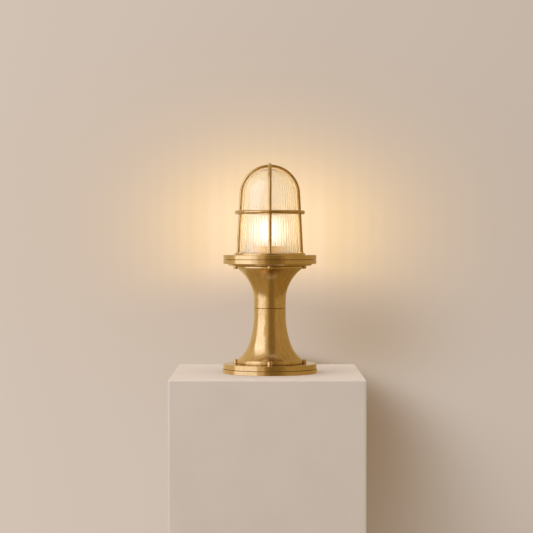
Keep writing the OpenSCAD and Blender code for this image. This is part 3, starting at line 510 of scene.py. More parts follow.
def make_finishes():
    """All materials, by the name of the record's slot or of the piece's own finish."""
    f = bpy.context.scene.lantern_finish
    brass, aged, bright = tuple(f.brass), tuple(f.aged), tuple(f.bright)
    made = {
        "disc_brass": brass_finish("disc_brass", brass, aged, f.disc_rough, 1.0),
        "cast_brass": brass_finish("cast_brass", brass, aged, f.cast_rough, 0.05, 1.1, True),
        # The rod brass, darker brass with darker patches, paints the shade on the guard's bars.
        "shaded_rod_brass": brass_finish("shaded_rod_brass", tuple(f.rod), scaled(f.rod, 0.5), f.rod_rough, 0.1),
        "brass": brass_finish("brass", brass, aged, 0.25, 0.4),
        "bright_brass": brass_finish("bright_brass", bright, brass, 0.2, 0.6, 0.6),
        # Brass made brighter and more golden, which paints the bulb's light and reflections on the
        # lampholder sleeve.
        "bulb_lit_brass": brass_finish("bulb_lit_brass", (0.85, 0.58, 0.2), (0.5, 0.3, 0.07), 0.2, 0.6, 0.6),
        "nickel": plain_finish("nickel", (0.62, 0.59, 0.54), 0.3, 1.0),
        "copper": plain_finish("copper", (0.78, 0.42, 0.26), 0.3, 1.0),
        "rubber": plain_finish("rubber", (0.018, 0.017, 0.016), 0.65, bump=0.3),
        "clear_glass": glass_finish("clear_glass", tuple(f.glass), tuple(f.deep), 0.05, f.milky),
        "opal_glass": opal_finish("opal_glass", tuple(f.glow), f.globe_power),
        "porcelain": plain_finish("porcelain", (0.82, 0.80, 0.75), 0.18, Coat_Weight=0.5),
        "black_insulator": plain_finish("black_insulator", (0.02, 0.019, 0.018), 0.3),
        "light_rod": plain_finish("light_rod", (0.95, 0.72, 0.25), 0.4,
                                  Emission_Color=opaque(f.glow), Emission_Strength=f.rod_power),
        "white_plastic": plain_finish("white_plastic", (0.78, 0.76, 0.71), 0.4),
        "brown_sleeve": plain_finish("brown_sleeve", (0.16, 0.065, 0.025), 0.42),
        "blue_sleeve": plain_finish("blue_sleeve", (0.02, 0.09, 0.42), 0.42),
        "green_sleeve": plain_finish("green_sleeve", (0.10, 0.32, 0.05), 0.42),
        "floor": plain_finish("floor", tuple(bpy.context.scene.lantern_stage.floor), 0.75,
                              spots=0.04, grain=60, bump=0.05),
        # Card colours seen only in reflections: painted shade behind the camera, a darker core in it
        # and a painted warm room.
        "flag": plain_finish("flag", tuple(bpy.context.scene.lantern_stage.flag), 0.9),
        "core": plain_finish("core", scaled(bpy.context.scene.lantern_stage.flag, 0.7), 0.9),
        "amber": plain_finish("amber", tuple(bpy.context.scene.lantern_stage.amber), 0.9),
        # A glowing card though no lamp: painted light of a lit wall, seen only in reflections.
        "tan": plain_finish("tan", (0.1, 0.08, 0.05), 0.9, Emission_Color=(0.68, 0.53, 0.30, 1),
                            Emission_Strength=1.0),
    }
    return made


FINISHES = {}


# Pieces


class LanternOperator:
    """What the lantern's operators share"""

    bl_options = {"REGISTER"}


class LANTERN_OT_finishes(LanternOperator, bpy.types.Operator):
    """Make the materials and put each record slot's material on its CAD node"""

    bl_idname = "lantern.finishes"
    bl_label = "Finishes"

    def execute(self, context):
        FINISHES.update(make_finishes())
        for part in frame["record"]["subparts"]:
            node = frame["nodes"][part["node"]]
            node.data.materials.clear()
            node.data.materials.append(FINISHES[part["material_slot"]])
        return {"FINISHED"}


def holed_disc(hole_r, circle_r, inner_r, outer_r, height, count=3, start=math.radians(60)):
    """Flat ring with bolt holes, one sector for each hole, and the walls of nothing else.

    In a sector, a border point (radius, angle) lies on the sector's outline, and the hole's
    edge point in the same direction faces it. The grid runs straight from one to the other
    in polar coordinates.
    """
    half = np.pi / count
    swing = np.linspace(-half, half, 65)
    ways = np.linspace(inner_r, outer_r, 17)
    border_r = np.concatenate([np.full(64, outer_r), ways[:0:-1], np.full(64, inner_r), ways[:-1]])
    border_a = np.concatenate([swing[:-1], np.full(16, half), swing[:0:-1], np.full(16, -half)])
    way = np.arctan2(border_a * circle_r, border_r - circle_r)
    edge_x, edge_y = circle_r + hole_r * np.cos(way), hole_r * np.sin(way)
    share = (np.linspace(0, 1, 8) ** 1.5)[:, None]
    r = (1 - share) * np.hypot(edge_x, edge_y) + share * border_r
    a = (1 - share) * np.arctan2(edge_y, edge_x) + share * border_a
    sectors = []
    for k in range(count):
        turn = a + start + k * 2 * np.pi / count
        sectors.append((np.stack([r * np.cos(turn), r * np.sin(turn), np.full_like(r, height)],
                                 axis=-1), False, True))
    return sectors


class LANTERN_OT_foot(LanternOperator, bpy.types.Operator):
    """Floor plate with its bolt holes, and the foot ring on it"""

    bl_idname = "lantern.foot"
    bl_label = "Foot"

    def execute(self, context):
        c = context.scene.lantern_column
        z0, z1 = foot("base_plate"), crown("base_plate")
        out, bore, small = reach("base_plate"), reach("gland_seal") + 2.65 * MM, 0.6 * c.chamfer
        face = out - 1.2 * MM
        side = rounded([(face, z0, 0), (out - small, z0, small / 3), (out, z0 + small, small / 3),
                        (out, z1 - small, small / 3), (out - small, z1, small / 3),
                        (face, z1, 0)], closed=False)
        low = holed_disc(c.hole_r, c.hole_circle, bore, face, z0)
        high = holed_disc(c.hole_r, c.hole_circle, bore, face, z1)
        walls = [(np.stack([bottom[0][0], top[0][0]]), False, True) for bottom, top in zip(low, high)]
        gland = turned(np.array([[bore, z0], [bore, z1]]), closed=False)
        add_piece("floor_plate", [turned(side, closed=False), *low, *high, *walls, gland],
                  FINISHES["disc_brass"], "lamp_body", "brass", "base_plate")
        z0, z1 = foot("base_ring"), crown("base_ring")
        out, bore, cut = reach("base_ring"), c.rim_bore_r - 0.8 * MM, c.chamfer
        add_piece("foot_ring", [turned(rounded([
            (bore, z0, 0), (out - cut, z0, cut / 4), (out, z0 + cut, cut / 4),
            (out, z1 - cut, cut / 4), (out - cut, z1, cut / 4), (bore, z1, 0)]))],
            FINISHES["disc_brass"], "lamp_body", "brass", "base_ring")
        return {"FINISHED"}


def flare(c, slow_r, sweep, quick_r, out_to, inward, straight):
    """Outline of a flare from its neck to the radius out_to, moved in by `inward`.

    The first arc turns through sweep round (neck + slow_r, straight); the second one, of
    radius quick_r, goes on round the point where both arcs' radii meet.
    """
    centre = np.array([c.neck_r + slow_r, straight])
    second = centre + (slow_r - quick_r) * np.array([-math.cos(sweep), math.sin(sweep)])
    last = math.acos((second[0] - out_to) / (quick_r + inward))
    slow = arc(centre, slow_r + inward, np.pi, np.pi - sweep, 26)
    quick = arc(second, quick_r + inward, np.pi - sweep, np.pi - last, 34)
    short = arc(second, quick_r + inward, np.pi - last + 0.002, np.pi - last, 2)
    return np.vstack([slow[:-1], quick[:-1], short])


def casting_outline(c, height, slow_r, sweep, quick_r, rim_h, over, seam):
    """Closed outline of a column casting, its neck seam at height 0."""
    probe = flare(c, slow_r, sweep, quick_r, c.rim_r - over, 0, 0)
    straight = height - rim_h - probe[-1, 1]
    outer = flare(c, slow_r, sweep, quick_r, c.rim_r - over, 0, straight)
    inner = flare(c, slow_r, sweep, quick_r, c.rim_bore_r, c.wall, straight)
    bulge = 0.42 * rim_h
    middle = c.rim_r - bulge
    edge = rounded([(c.neck_r - 3 * MM, 0, 0), (c.neck_r - seam, 0, seam / 4),
                    (c.neck_r, seam, seam / 4), (c.neck_r, 3 * MM, 0)], closed=False)[1:-1]
    crease = -math.acos((bulge - over) / bulge)
    under = arc((middle, height - rim_h + bulge), bulge, crease, 0, 10)
    over_rim = arc((c.rim_r - 1 * MM, height - 1 * MM), 1 * MM, 0, np.pi / 2, 8)
    mouth = np.array([[c.rim_bore_r + 0.3 * MM, height], [c.rim_bore_r, height - 0.3 * MM]])
    bore = np.array([[c.neck_r - c.wall, 0.0]])
    return np.vstack([edge, outer, under, over_rim, mouth, inner[::-1], bore])


def head_grid(radius, height, slot):
    """Slotted round head on height 0: x on lines that crowd at the slot's walls, and
    y = v sqrt(R^2 - x^2) with v from -1 to 1. Its height is H (1 + 5 sqrt(1 - d^2)) / 6 at a
    share d of the radius, and is cut to the slot's floor. The underside is flat.
    """
    wall = 0.03 * MM
    x = np.sort(np.concatenate([
        radius * np.sin(np.linspace(-np.pi / 2, np.pi / 2, 24)),
        [-slot / 2 - wall, -slot / 2, slot / 2, slot / 2 + wall]]))
    v = np.concatenate([np.sin(np.linspace(-np.pi / 2, np.pi / 2, 19)), [1, -1]])[:, None]
    y = v * np.sqrt(np.maximum(radius ** 2 - x ** 2, 0))
    part = np.minimum(np.hypot(x, y) / radius, 1)
    z = height * (1 + 5 * np.sqrt(1 - part ** 2)) / 6
    z = np.where(np.abs(x) <= slot / 2 + 1e-9, np.minimum(z, 0.42 * height), z)
    z[-2:] = 0
    return np.stack(np.broadcast_arrays(x, y, z), axis=-1), True, False


SLOT_TURNS = (0.35, 1.9, 2.75, 0.95)


def lug_screws(c, seat, shank, flip):
    """Four slotted screws on the lug circle, each with its slot at its own angle."""
    rod = [(0, -shank, 0), (2 * MM, -shank, 0.3 * MM), (2 * MM, 0.2 * MM, 0), (0, 0.2 * MM, 0)]
    made = []
    for k, slot_turn in enumerate(SLOT_TURNS):
        at = (c.lug_out * math.cos(k * np.pi / 2), c.lug_out * math.sin(k * np.pi / 2), seat)
        for surface in (head_grid(c.head_r, c.head_h, c.slot_w), stick(rod, 24)):
            made.append(moved(surface, at, slot_turn, flip))
    return made


def lugs(c, z_open, z_seat):
    """Four round lugs between the rim's mouth and the seat of their screws."""
    away = math.copysign(1, z_seat - z_open)
    h = abs(z_seat - z_open)
    post = stick([(0, 0, 0), (c.lug_r, 0, 0.3 * MM), (c.lug_r, h, 0.9 * MM), (0, h, 0)])
    return [moved(post, (c.lug_out * math.cos(k * np.pi / 2), c.lug_out * math.sin(k * np.pi / 2),
                         z_open), flip=away < 0) for k in range(4)]


class LANTERN_OT_column(LanternOperator, bpy.types.Operator):
    """Both column castings with their rims and lugs, and the lug screws"""

    bl_idname = "lantern.column"
    bl_label = "Column"

    def execute(self, context):
        c = context.scene.lantern_column
        z0, seam, z1 = foot("lower_column"), crown("lower_column"), crown("upper_column")
        lower = casting_outline(c, seam - z0, c.slow_r, c.slow_sweep, c.quick_r,
                                c.lower_rim_h, c.lower_over, c.lower_seam)
        upper = casting_outline(c, z1 - seam, c.upper_r, math.radians(30), c.upper_r,
                                c.upper_rim_h, c.upper_over, c.upper_seam)
        low_seat = z0 + c.lower_rim_h - 1.6 * MM
        high_seat = z1 - c.upper_rim_h + 1.2 * MM
        add_piece("lower_casting",
                  [turned(lower * (1, -1) + (0, seam)), *lugs(c, z0, low_seat)],
                  FINISHES["cast_brass"], "lamp_body", "brass", "lower_column")
        add_piece("upper_casting", [turned(upper + (0, seam)), *lugs(c, z1, high_seat)],
                  FINISHES["cast_brass"], "lamp_body", "brass", "upper_column")
        add_piece("foot_screws", lug_screws(c, low_seat, low_seat - foot("lower_lug_screws"), False),
                  FINISHES["bright_brass"], "lamp_body", "bright_brass", "lower_lug_screws")
        add_piece("head_screws", lug_screws(c, high_seat, crown("upper_lug_screws") - high_seat, True),
                  FINISHES["bright_brass"], "lamp_body", "bright_brass", "upper_lug_screws")
        return {"FINISHED"}


class LANTERN_OT_gallery(LanternOperator, bpy.types.Operator):
    """Gallery disc of the lamp head, and the guard ring screwed on it"""

    bl_idname = "lantern.gallery"
    bl_label = "Gallery and guard ring"

    def execute(self, context):
        c, h = context.scene.lantern_column, context.scene.lantern_head
        cut, small = c.chamfer, 0.2 * MM
        spigot0, top = foot("gallery"), crown("gallery")
        step0 = crown("column_gasket")
        disc0 = step0 + h.step_t
        disc1 = disc0 + h.disc_t
        out = reach("gallery")
        seat, seal_r = foot("glass_seat"), (h.thread_r + out) / 2
        groove, seal_foot = 1.2 * MM, foot("ring_seal")
        seat_r = reach("glass_seat") + 0.4 * MM
        spigot = c.rim_bore_r - 0.1 * MM
        gallery = rounded([
            (spigot - 3.5 * MM, spigot0, small), (spigot, spigot0, small), (spigot, step0, 0),
            (h.step_r - 2.6 * MM, step0, small), (h.step_r, disc0, 0),
            (out - cut, disc0, small), (out, disc0 + cut, small),
            (out, disc1 - cut, small), (out - cut, disc1, small),
            (seal_r + groove, disc1, 0), (seal_r + groove, seal_foot, 0),
            (seal_r - groove, seal_foot, 0), (seal_r - groove, disc1, 0),
            (h.thread_r, disc1, 0), (h.thread_r, top, small), (seat_r, top, small),
            (seat_r, seat, small), (h.pocket_r, seat, small),
            (h.pocket_r, step0 + 3.4 * MM, 1 * MM), (h.opening_r, step0 + 3.4 * MM, 0.5 * MM),
            (h.opening_r, step0, small), (spigot - 3.5 * MM, step0, small)])
        add_piece("gallery_disc", [turned(gallery)], FINISHES["disc_brass"],
                  "lamp_body", "brass", "gallery")
        ring0, out = foot("guard_ring"), reach("guard_ring")
        ring1, collar1 = ring0 + h.ring_t, ring0 + h.ring_t + h.collar_t
        under = foot("slip_washer") + 1 * MM
        wide = h.thread_r + 0.1 * MM
        ring = rounded([
            (wide, ring0, small), (out - cut, ring0, small), (out, ring0 + cut, small),
            (out, ring1 - cut, small), (out - cut, ring1, small), (h.collar_r, ring1, 0.4 * MM),
            (h.collar_r, collar1, 0.7 * MM), (h.collar_bore_r, collar1, 0.5 * MM),
            (h.collar_bore_r, under, small), (wide, under, small)])
        add_piece("clamp_ring", [turned(ring)], FINISHES["disc_brass"],
                  "guard", "brass", "guard_ring")
        return {"FINISHED"}


def guard_bar(h, z_foot, z_arch, turn):
    """U-shaped bar: two leaning legs and an arch, with a braze fillet at each foot.

    The arch is arch_r (cos a, sin a) round (0, z_arch). The rod's radius grows by
    braze (1 - d / 2 braze)^2 at a distance d over the collar.
    """
    ends = np.array([h.lean, np.pi - h.lean])
    arch = arc((0, z_arch), h.arch_r, *ends, 97)
    down = np.array([math.sin(h.lean), -math.cos(h.lean)])
    leg_length = (arch[0, 1] - z_foot) / math.cos(h.lean) + 1.2 * MM
    way = np.concatenate([np.linspace(0, 5, 14) * MM, np.linspace(6 * MM, leg_length, 24)])
    leg = arch[0] + down * (leg_length - way)[:, None]
    flat = np.vstack([leg[:-1], arch, (leg * (-1, 1))[::-1][1:]])
    path = np.stack([flat[:, 0], np.zeros(len(flat)), flat[:, 1]], axis=1)
    over = np.clip(1 - (flat[:, 1] - z_foot) / (2 * h.braze), 0, 1.2) ** 2
    return moved(tube(path, (0, 1, 0), h.bar_r + 0.7 * h.braze * over), turn=turn)


class LANTERN_OT_guard(LanternOperator, bpy.types.Operator):
    """Both guard bars and the hoop round them"""

    bl_idname = "lantern.guard"
    bl_label = "Guard"

    def execute(self, context):
        h = context.scene.lantern_head
        z_foot = crown("guard_ring")
        z_arch = crown("guard_bar_side") - h.arch_r - h.bar_r
        # The guard's bars take the darker brass that paints their shade.
        add_piece("side_bar", [guard_bar(h, z_foot, z_arch, 0)], FINISHES["shaded_rod_brass"],
                  "guard", "brass", "guard_bar_side")
        add_piece("front_bar", [guard_bar(h, z_foot, z_arch + h.crown_rise, np.pi / 2)],
                  FINISHES["shaded_rod_brass"], "guard", "brass", "guard_bar_front")
        rod_r = (crown("guard_hoop") - foot("guard_hoop")) / 2
        middle = (crown("guard_hoop") + foot("guard_hoop")) / 2
        hoop_r = reach("guard_hoop") - rod_r
        a = np.arange(256) * (2 * np.pi / 256)
        b = np.arange(32)[:, None] * (2 * np.pi / 32)
        beside = np.abs((a + np.pi / 4) % (np.pi / 2) - np.pi / 4) * hoop_r
        r = rod_r + 0.25 * h.braze * np.exp(-(beside / (3 * MM)) ** 2)
        hoop = np.stack(np.broadcast_arrays(
            (hoop_r + r * np.cos(b)) * np.cos(a), (hoop_r + r * np.cos(b)) * np.sin(a),
            middle + r * np.sin(b)), axis=-1)
        add_piece("guard_rail", [(hoop, True, True)], FINISHES["shaded_rod_brass"],
                  "guard", "brass", "guard_hoop")
        return {"FINISHED"}


def smooth_step(x):
    """0 below 0, 1 above 1 and an even S between."""
    x = np.clip(x, 0, 1)
    return x * x * (3 - 2 * x)


class LANTERN_OT_glass(LanternOperator, bpy.types.Operator):
    """Glass dome, smooth outside and ribbed inside"""

    bl_idname = "lantern.glass"
    bl_label = "Glass dome"

    def execute(self, context):
        h = context.scene.lantern_head
        z_arch = crown("guard_bar_side") - h.arch_r - h.bar_r
        outer_r = h.arch_r - h.bar_r - h.glass_gap
        inner_r = outer_r - h.glass_wall
        z0, lip_r = foot("glass_dome"), reach("glass_dome")
        z1 = foot("slip_washer")

        def wall(radius, low):
            """Leaning wall up from low, then the ball of that radius up to the pole."""
            a = np.linspace(h.lean, np.pi / 2, 36)
            ball = np.stack([radius * np.cos(a), z_arch + radius * np.sin(a)], axis=1)
            ball[-1, 0] = 0
            z = np.linspace(low, ball[0, 1], 26)[:-1]
            r = radius / math.cos(h.lean) + (z_arch - z) * math.tan(h.lean)
            return np.vstack([np.stack([r, z], axis=1), ball])

        outside = wall(outer_r, z1 + 2.5 * MM)
        inside = wall(inner_r, z0)
        lip = rounded([
            (inside[0, 0], z0, 0), (lip_r, z0, 0.9 * MM), (lip_r, z1, 1.2 * MM),
            (outside[0, 0] + 0.12 * MM, z1, 1.2 * MM), (*outside[0], 0)], closed=False)
        outline = np.vstack([lip[:-1], outside, inside[::-1]])
        columns = 10 * h.ribs
        a = np.arange(columns) * (2 * np.pi / columns)
        z = outline[:, 1:]
        up = np.arcsin(np.clip((z - z_arch) / inner_r, 0, 1))
        strength = (smooth_step((z - z1 - 3 * MM) / (3 * MM))
                    * smooth_step((math.radians(72) - up) / math.radians(50)))
        strength[:-len(inside)] = 0
        r = outline[:, :1] + h.groove * strength * (0.5 - 0.5 * np.cos(h.ribs * a))
        dome = lathe((r, outline[:, 1]), columns, closed=False)
        add_piece("ribbed_dome", [dome], FINISHES["clear_glass"], "glass", "clear_glass",
                  "glass_dome")
        return {"FINISHED"}


class LANTERN_OT_lamp(LanternOperator, bpy.types.Operator):
    """Opal bulb globe and the outside of the lampholder"""

    bl_idname = "lantern.lamp"
    bl_label = "Bulb and lampholder"

    def execute(self, context):
        z0, z1, r = foot("bulb_globe"), crown("bulb_globe"), reach("bulb_globe")
        middle = z1 - r
        neck_r, neck_top = 12.35 * MM, crown("bulb_cap")
        join = math.radians(-38.5)
        ball = arc((0, middle), r, join, np.pi / 2, 48)
        ball[-1, 0] = 0
        t = np.linspace(0, 1, 14)[:-1, None]
        start, end = np.array([neck_r, neck_top]), ball[0]
        pull0 = np.array([0, 14 * MM])
        pull1 = 14 * MM * np.array([-math.sin(join), math.cos(join)])
        blend = ((2 * t ** 3 - 3 * t ** 2 + 1) * start + (t ** 3 - 2 * t ** 2 + t) * pull0
                 + (3 * t ** 2 - 2 * t ** 3) * end + (t ** 3 - t ** 2) * pull1)
        outside = np.vstack([[[neck_r, z0]], blend, ball])
        wall = 1 * MM
        inside = outside * (1 - wall / r, 1) - (0, 0)
        inside[:, 1] = middle + (outside[:, 1] - middle) * (1 - wall / r)
        inside[0, 1] = z0
        add_piece("opal_globe", [turned(np.vstack([outside, inside[::-1]]), 96, closed=False),
                                 turned(np.array([inside[0], outside[0]]), 96, closed=False)],
                  FINISHES["opal_glass"], "bulb", "opal_glass", "bulb_globe")
        z0, z1 = foot("holder_skirt"), crown("holder_skirt")
        out = BOX["holder_cap"][1].x
        porcelain_r = reach("holder_porcelain")
        lip = crown("holder_porcelain")
        skirt = rounded([
            (out - 1.4 * MM, z0, 0.1 * MM), (out, z0, 0.2 * MM), (out, z0 + 1.2 * MM, 0.2 * MM),
            (out + 0.6 * MM, z0 + 2 * MM, 0.5 * MM), (out, z0 + 2.8 * MM, 0.2 * MM),
            (out, z1 - 2.6 * MM, 0.3 * MM), (out + 0.6 * MM, z1 - 2.2 * MM, 0.4 * MM),
            (out + 0.6 * MM, z1, 0.7 * MM), (porcelain_r - 0.2 * MM, z1, 0.6 * MM),
            (porcelain_r - 0.2 * MM, lip, 0.1 * MM), (out - 1.4 * MM, lip, 0.1 * MM)])
        # The sleeve's brighter gold paints the bulb's light and reflections on it.
        add_piece("holder_sleeve", [turned(skirt, 128)], FINISHES["bulb_lit_brass"],
                  "lamp_body", "brass", "holder_skirt")
        return {"FINISHED"}


# Stage


class LANTERN_OT_stage(LanternOperator, bpy.types.Operator):
    """Camera, softbox, dark card and the other cards seen in reflections, floor block and the wall
    behind with its painted light and shade
    """

    bl_idname = "lantern.stage"
    bl_label = "Stage"

    def execute(self, context):
        s = context.scene.lantern_stage
        scene = context.scene
        scene.view_settings.view_transform = "Standard"
        data = bpy.data.cameras.new("camera")
        data.sensor_width = SENSOR_MM
        data.lens = s.lens_px / PICTURE_PX * SENSOR_MM
        camera = bpy.data.objects.new("camera", data)
        camera.location = (-0.005, -s.far_off, s.eye)
        camera.rotation_euler = (np.pi / 2 - s.tilt, 0, 0)
        scene.collection.objects.link(camera)
        scene.camera = camera
        self.softbox(scene, s)
        self.card(scene, s)
        self.floor(scene, s)
        self.wall(scene, s)
        return {"FINISHED"}

    def softbox(self, scene, s):
        """Tall soft light to the left of the camera, its upper part the brighter one.

        A lamp of area A and power P has the brightness P / (pi A).
        """
        away, left = 1.3, 94
        for name, low, high, right, brightness in (("foot_box", -0.3, 0.06, 31, s.low_box * 0.76),
                                                   ("neck_box", 0.06, 0.14, 45, s.low_box),
                                                   ("head_box", 0.14, 0.3, 30, s.low_box),
                                                   ("low_box", 0.3, 0.7, 41, s.low_box),
                                                   ("high_box", 0.7, 1.3, 31, s.high_box),
                                                   ("top_box", 1.3, 2.4, 31, s.high_box * 0.7)):
            side = math.radians(left + right) / 2
            width = 2 * away * math.tan(math.radians(left - right) / 2)
            data = bpy.data.lights.new(name, "AREA")
            data.shape = "RECTANGLE"
            data.size, data.size_y = width, high - low
            data.energy = 1.15 * brightness * math.pi * width * (high - low)
            data.color = (0.66, 0.725, 1.0)
            light = bpy.data.objects.new(name, data)
            light.location = (-away * math.sin(side), -away * math.cos(side), (low + high) / 2)
            light.rotation_euler = (np.pi / 2, 0, -side)
            light.visible_camera = False
            scene.collection.objects.link(light)
        data = bpy.data.lights.new("top_light", "AREA")
        data.size, data.energy, data.color = 1.2, s.top_light, (1.0, 0.93, 0.88)
        light = bpy.data.objects.new("top_light", data)
        light.location = (0, -0.2, 1.5)
        light.visible_camera = light.visible_glossy = light.visible_transmission = False
        scene.collection.objects.link(light)

    def card(self, scene, s):
        """Cards seen only in reflections, each part of a round wall, whose colours paint what the brass
        reflects: dark ones behind the camera paint shade there, an amber one on the right and one below
        the softbox paint a warm lit room, and a glowing tan one on the left paints a lit wall."""
        for name, finish, radius, start, end, low, high in (
                ("dark_card", "flag", 3.2, -13, 38, -9, 9), ("core_card", "core", 3.1, -3, 28, -9, 9),
                ("amber_card", "amber", 3.2, 38, 172, -0.6, 9),
                ("deep_card", "flag", 3.2, 38, 172, -9, -0.6),
                # The glowing tan card paints a lit wall into the reflections.
                ("side_card", "tan", 3.2, -168, -13, -9, 9),
                ("low_card", "amber", 1.8, -150, -13, -5, -0.35)):
            a = np.radians(np.linspace(start, end, 30)) - np.pi / 2
            z = np.array([[low], [high]])
            points = np.stack(np.broadcast_arrays(radius * np.cos(a), radius * np.sin(a), z), axis=-1)
            card = mesh_object(name, [(points, False, False)], FINISHES[finish])
            for kind in ("camera", "diffuse", "transmission", "shadow"):
                setattr(card, "visible_" + kind, False)

    def floor(self, scene, s):
        """Pale block with softened edges that the lantern stands on."""
        wide, front, back, deep, soft = 0.1388, -0.151, 0.173, 0.9, 0.002
        aside, middle = -0.0042, (front + back) / 2
        half = (back - front) / 2
        rim = rounded([(-wide, middle - half, 4 * MM), (wide, middle - half, 4 * MM),
                       (wide, middle + half, 4 * MM), (-wide, middle + half, 4 * MM)])
        step = np.array([[1.0, -deep], [1.0, -soft - 0.001], [1.0, -soft], [0.9, -soft * 0.3],
                         [0.6, -0.0], [0.59, 0.0], [0.0, 0.0]])
        shrink = 1 - (1 - step[:, 0])[:, None, None] * soft / np.abs(rim).max()
        shrink[-1] = 0
        flat = rim[None] * shrink + np.array([aside, 0])
        z = np.broadcast_to(step[:, 1][:, None, None], flat.shape[:2] + (1,))
        block = mesh_object("floor_block", [(np.concatenate([flat, z], axis=-1), False, True)],
                            FINISHES["floor"])
        block.visible_glossy = False

    def wall(self, scene, s):
        """World: an even light, and the wall's colour for what the camera and metal see. Light and
        shade are painted on the wall: the lamp's halo and warmth round the lamp, a painted shade right
        of the column, the painted shadow of the floor block and a painted shading from left to right.
        """
        world = bpy.data.worlds.new("wall")
        scene.world = world
        n = Nodes(world)
        split = n.add("SeparateXYZ", [("Vector", n.add("TexCoord").outputs["Generated"])])
        x, y, z = split.outputs
        across = n.math("DIVIDE", x, n.ranged(x, -0.02, 0.05, 0.061, 0.070))
        upward = n.math("DIVIDE", n.math("SUBTRACT", z, 0.0106), 0.044)
        spread = n.math("ADD", n.math("MULTIPLY", across, across),
                        n.math("MULTIPLY", upward, upward))
        ahead = n.math("GREATER_THAN", y, 0.0)
        # Painted lamp light: a halo round the lamp, cut off below where the gallery's shadow is
        # painted.
        aslant = n.math("MULTIPLY_ADD", n.math("ABSOLUTE", x), 0.15, z)
        cut = n.math("MULTIPLY", ahead, n.ranged(aslant, -0.0345, -0.009, 0, 1))
        halo = n.math("MULTIPLY", n.math("EXPONENT", n.math("MULTIPLY", spread, -1.0)), cut)
        # Painted shade: a soft dark patch on the wall right of and below the column.
        aside = n.math("DIVIDE", n.math("SUBTRACT", x, 0.058), 0.04)
        below = n.math("DIVIDE", n.math("SUBTRACT", z, -0.055), 0.028)
        apart = n.math("ADD", n.math("MULTIPLY", aside, aside), n.math("MULTIPLY", below, below))
        painted_shade = n.math("MULTIPLY", n.math("EXPONENT", n.math("MULTIPLY", apart, -1.0)), ahead)
        # Painted shading: the wall lighter on the left and darker on the right.
        shade = n.ranged(x, -0.16, 0.16, 1.07, 0.92)
        away = n.ranged(n.math("ABSOLUTE", x), 0.17, 0.5, 0, 1)
        # Painted lamp light: near the lamp the wall turns to the lamp-lit colour.
        near = n.math("MULTIPLY", n.math("EXPONENT", n.math("MULTIPLY", spread, -0.25)), ahead)
        tone = n.mixed(near, n.mixed(away, opaque(s.wall), opaque(s.room)), opaque(s.lamp_lit_wall))
        shaded_tone = n.add("VectorMath", [(0, tone), ("Scale", shade)], operation="SCALE")
        # Painted lamp light: thrown light close beside the dome and faint vertical streaks in the halo.
        off = n.math("ABSOLUTE", x)
        beside = n.math("MULTIPLY", n.ranged(off, 0.0325, 0.0405, 1, 0), n.ranged(z, 0.02, 0.055, 1, 0))
        ripple = n.math("COSINE", n.math("MULTIPLY", off, 707.0))
        streaky = n.math("MULTIPLY", halo, n.math("MULTIPLY_ADD", ripple, -0.035, 1.0))
        thrown = n.mixed(beside, opaque(scaled(s.halo, 0.93)), opaque(s.thrown))
        glow = n.add("VectorMath", [(0, thrown), ("Scale", streaky)], operation="SCALE")
        lit = n.add("VectorMath", [(0, shaded_tone.outputs[0]), (1, glow.outputs[0])], operation="ADD")
        # The painted shade is taken off the lit wall.
        dim = n.add("VectorMath", [(0, (0.095, 0.10, 0.112)), ("Scale", painted_shade)], operation="SCALE")
        wall = n.add("VectorMath", [(0, lit.outputs[0]), (1, dim.outputs[0])], operation="SUBTRACT")
        # Painted shadow of the floor block on the wall to its right, softer further down.
        down = n.math("SUBTRACT", -0.081, z)
        fall = n.math("EXPONENT", n.math("DIVIDE", down, -0.022))
        border = n.math("MULTIPLY_ADD", fall, -0.0435, 0.0435 + 0.058)
        soft = n.math("MAXIMUM", n.math("MULTIPLY_ADD", down, 0.2, 0.008), 0.006)
        past = n.math("EXPONENT", n.math("DIVIDE", n.math("SUBTRACT", x, border), soft))
        dark = n.math("DIVIDE", n.math("MULTIPLY", ahead, n.ranged(x, 0.0, 0.03, 0, 1)),
                      n.math("ADD", past, 1.0))
        shadow = n.mixed(dark, (1, 1, 1, 1), (0.44, 0.335, 0.22, 1))
        seen = n.add("VectorMath", [(0, wall.outputs[0]), (1, shadow)], operation="MULTIPLY").outputs[0]
        path = n.add("LightPath").outputs
        shown = n.math("MAXIMUM", n.math("MAXIMUM", path["Is Camera Ray"], path["Is Glossy Ray"]),
                       path["Is Transmission Ray"])
        even = n.add("Background", [("Color", (1.0, 0.95, 0.88, 1)), ("Strength", s.world_light)])
        plain = n.add("Background", [("Color", seen), ("Strength", 1.0)])
        mix = n.add("MixShader", [(0, shown), (1, even.outputs[0]), (2, plain.outputs[0])])
        n.add("OutputWorld", [("Surface", mix.outputs[0])])


class LANTERN_PT_panel(bpy.types.Panel):
    """Lists the lantern's sizes, finishes and operators"""

    bl_idname = "LANTERN_PT_panel"
    bl_label = "Brass Post Lantern"
    bl_space_type = "VIEW_3D"
    bl_region_type = "UI"
    bl_category = "Lantern"

    def draw(self, context):
        for group in (context.scene.lantern_column, context.scene.lantern_head,
                      context.scene.lantern_finish, context.scene.lantern_stage):
            box = self.layout.box()
            for name in group.__annotations__:
                box.prop(group, name)
        for operator in OPERATORS:
            self.layout.operator(operator.bl_idname)


GROUPS = {
    "lantern_column": LanternColumn,
    "lantern_head": LanternHead,
    "lantern_finish": LanternFinish,
    "lantern_stage": LanternStage,
}
OPERATORS = (
    LANTERN_OT_finishes,
    LANTERN_OT_foot,
    LANTERN_OT_column,
    LANTERN_OT_gallery,
    LANTERN_OT_guard,
    LANTERN_OT_glass,
    LANTERN_OT_lamp,
    LANTERN_OT_stage,
)


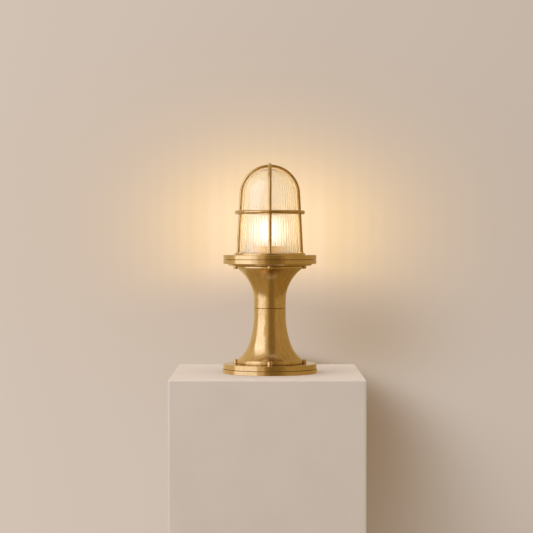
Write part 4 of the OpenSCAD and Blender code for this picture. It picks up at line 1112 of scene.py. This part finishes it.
def register():
    """Registers the classes and puts the property groups on the scene."""
    for cls in (*GROUPS.values(), *OPERATORS, LANTERN_PT_panel):
        bpy.utils.register_class(cls)
    for name, cls in GROUPS.items():
        setattr(bpy.types.Scene, name, PointerProperty(type=cls))


def unregister():
    """Takes away what register() put in place."""
    for name in GROUPS:
        delattr(bpy.types.Scene, name)
    for cls in (LANTERN_PT_panel, *reversed(OPERATORS), *reversed(list(GROUPS.values()))):
        bpy.utils.unregister_class(cls)


def main():
    register()
    bpy.ops.lantern.finishes()
    bpy.ops.lantern.foot()
    bpy.ops.lantern.column()
    bpy.ops.lantern.gallery()
    bpy.ops.lantern.guard()
    bpy.ops.lantern.glass()
    bpy.ops.lantern.lamp()
    bpy.ops.lantern.stage()


if __name__ == "__main__":
    main()
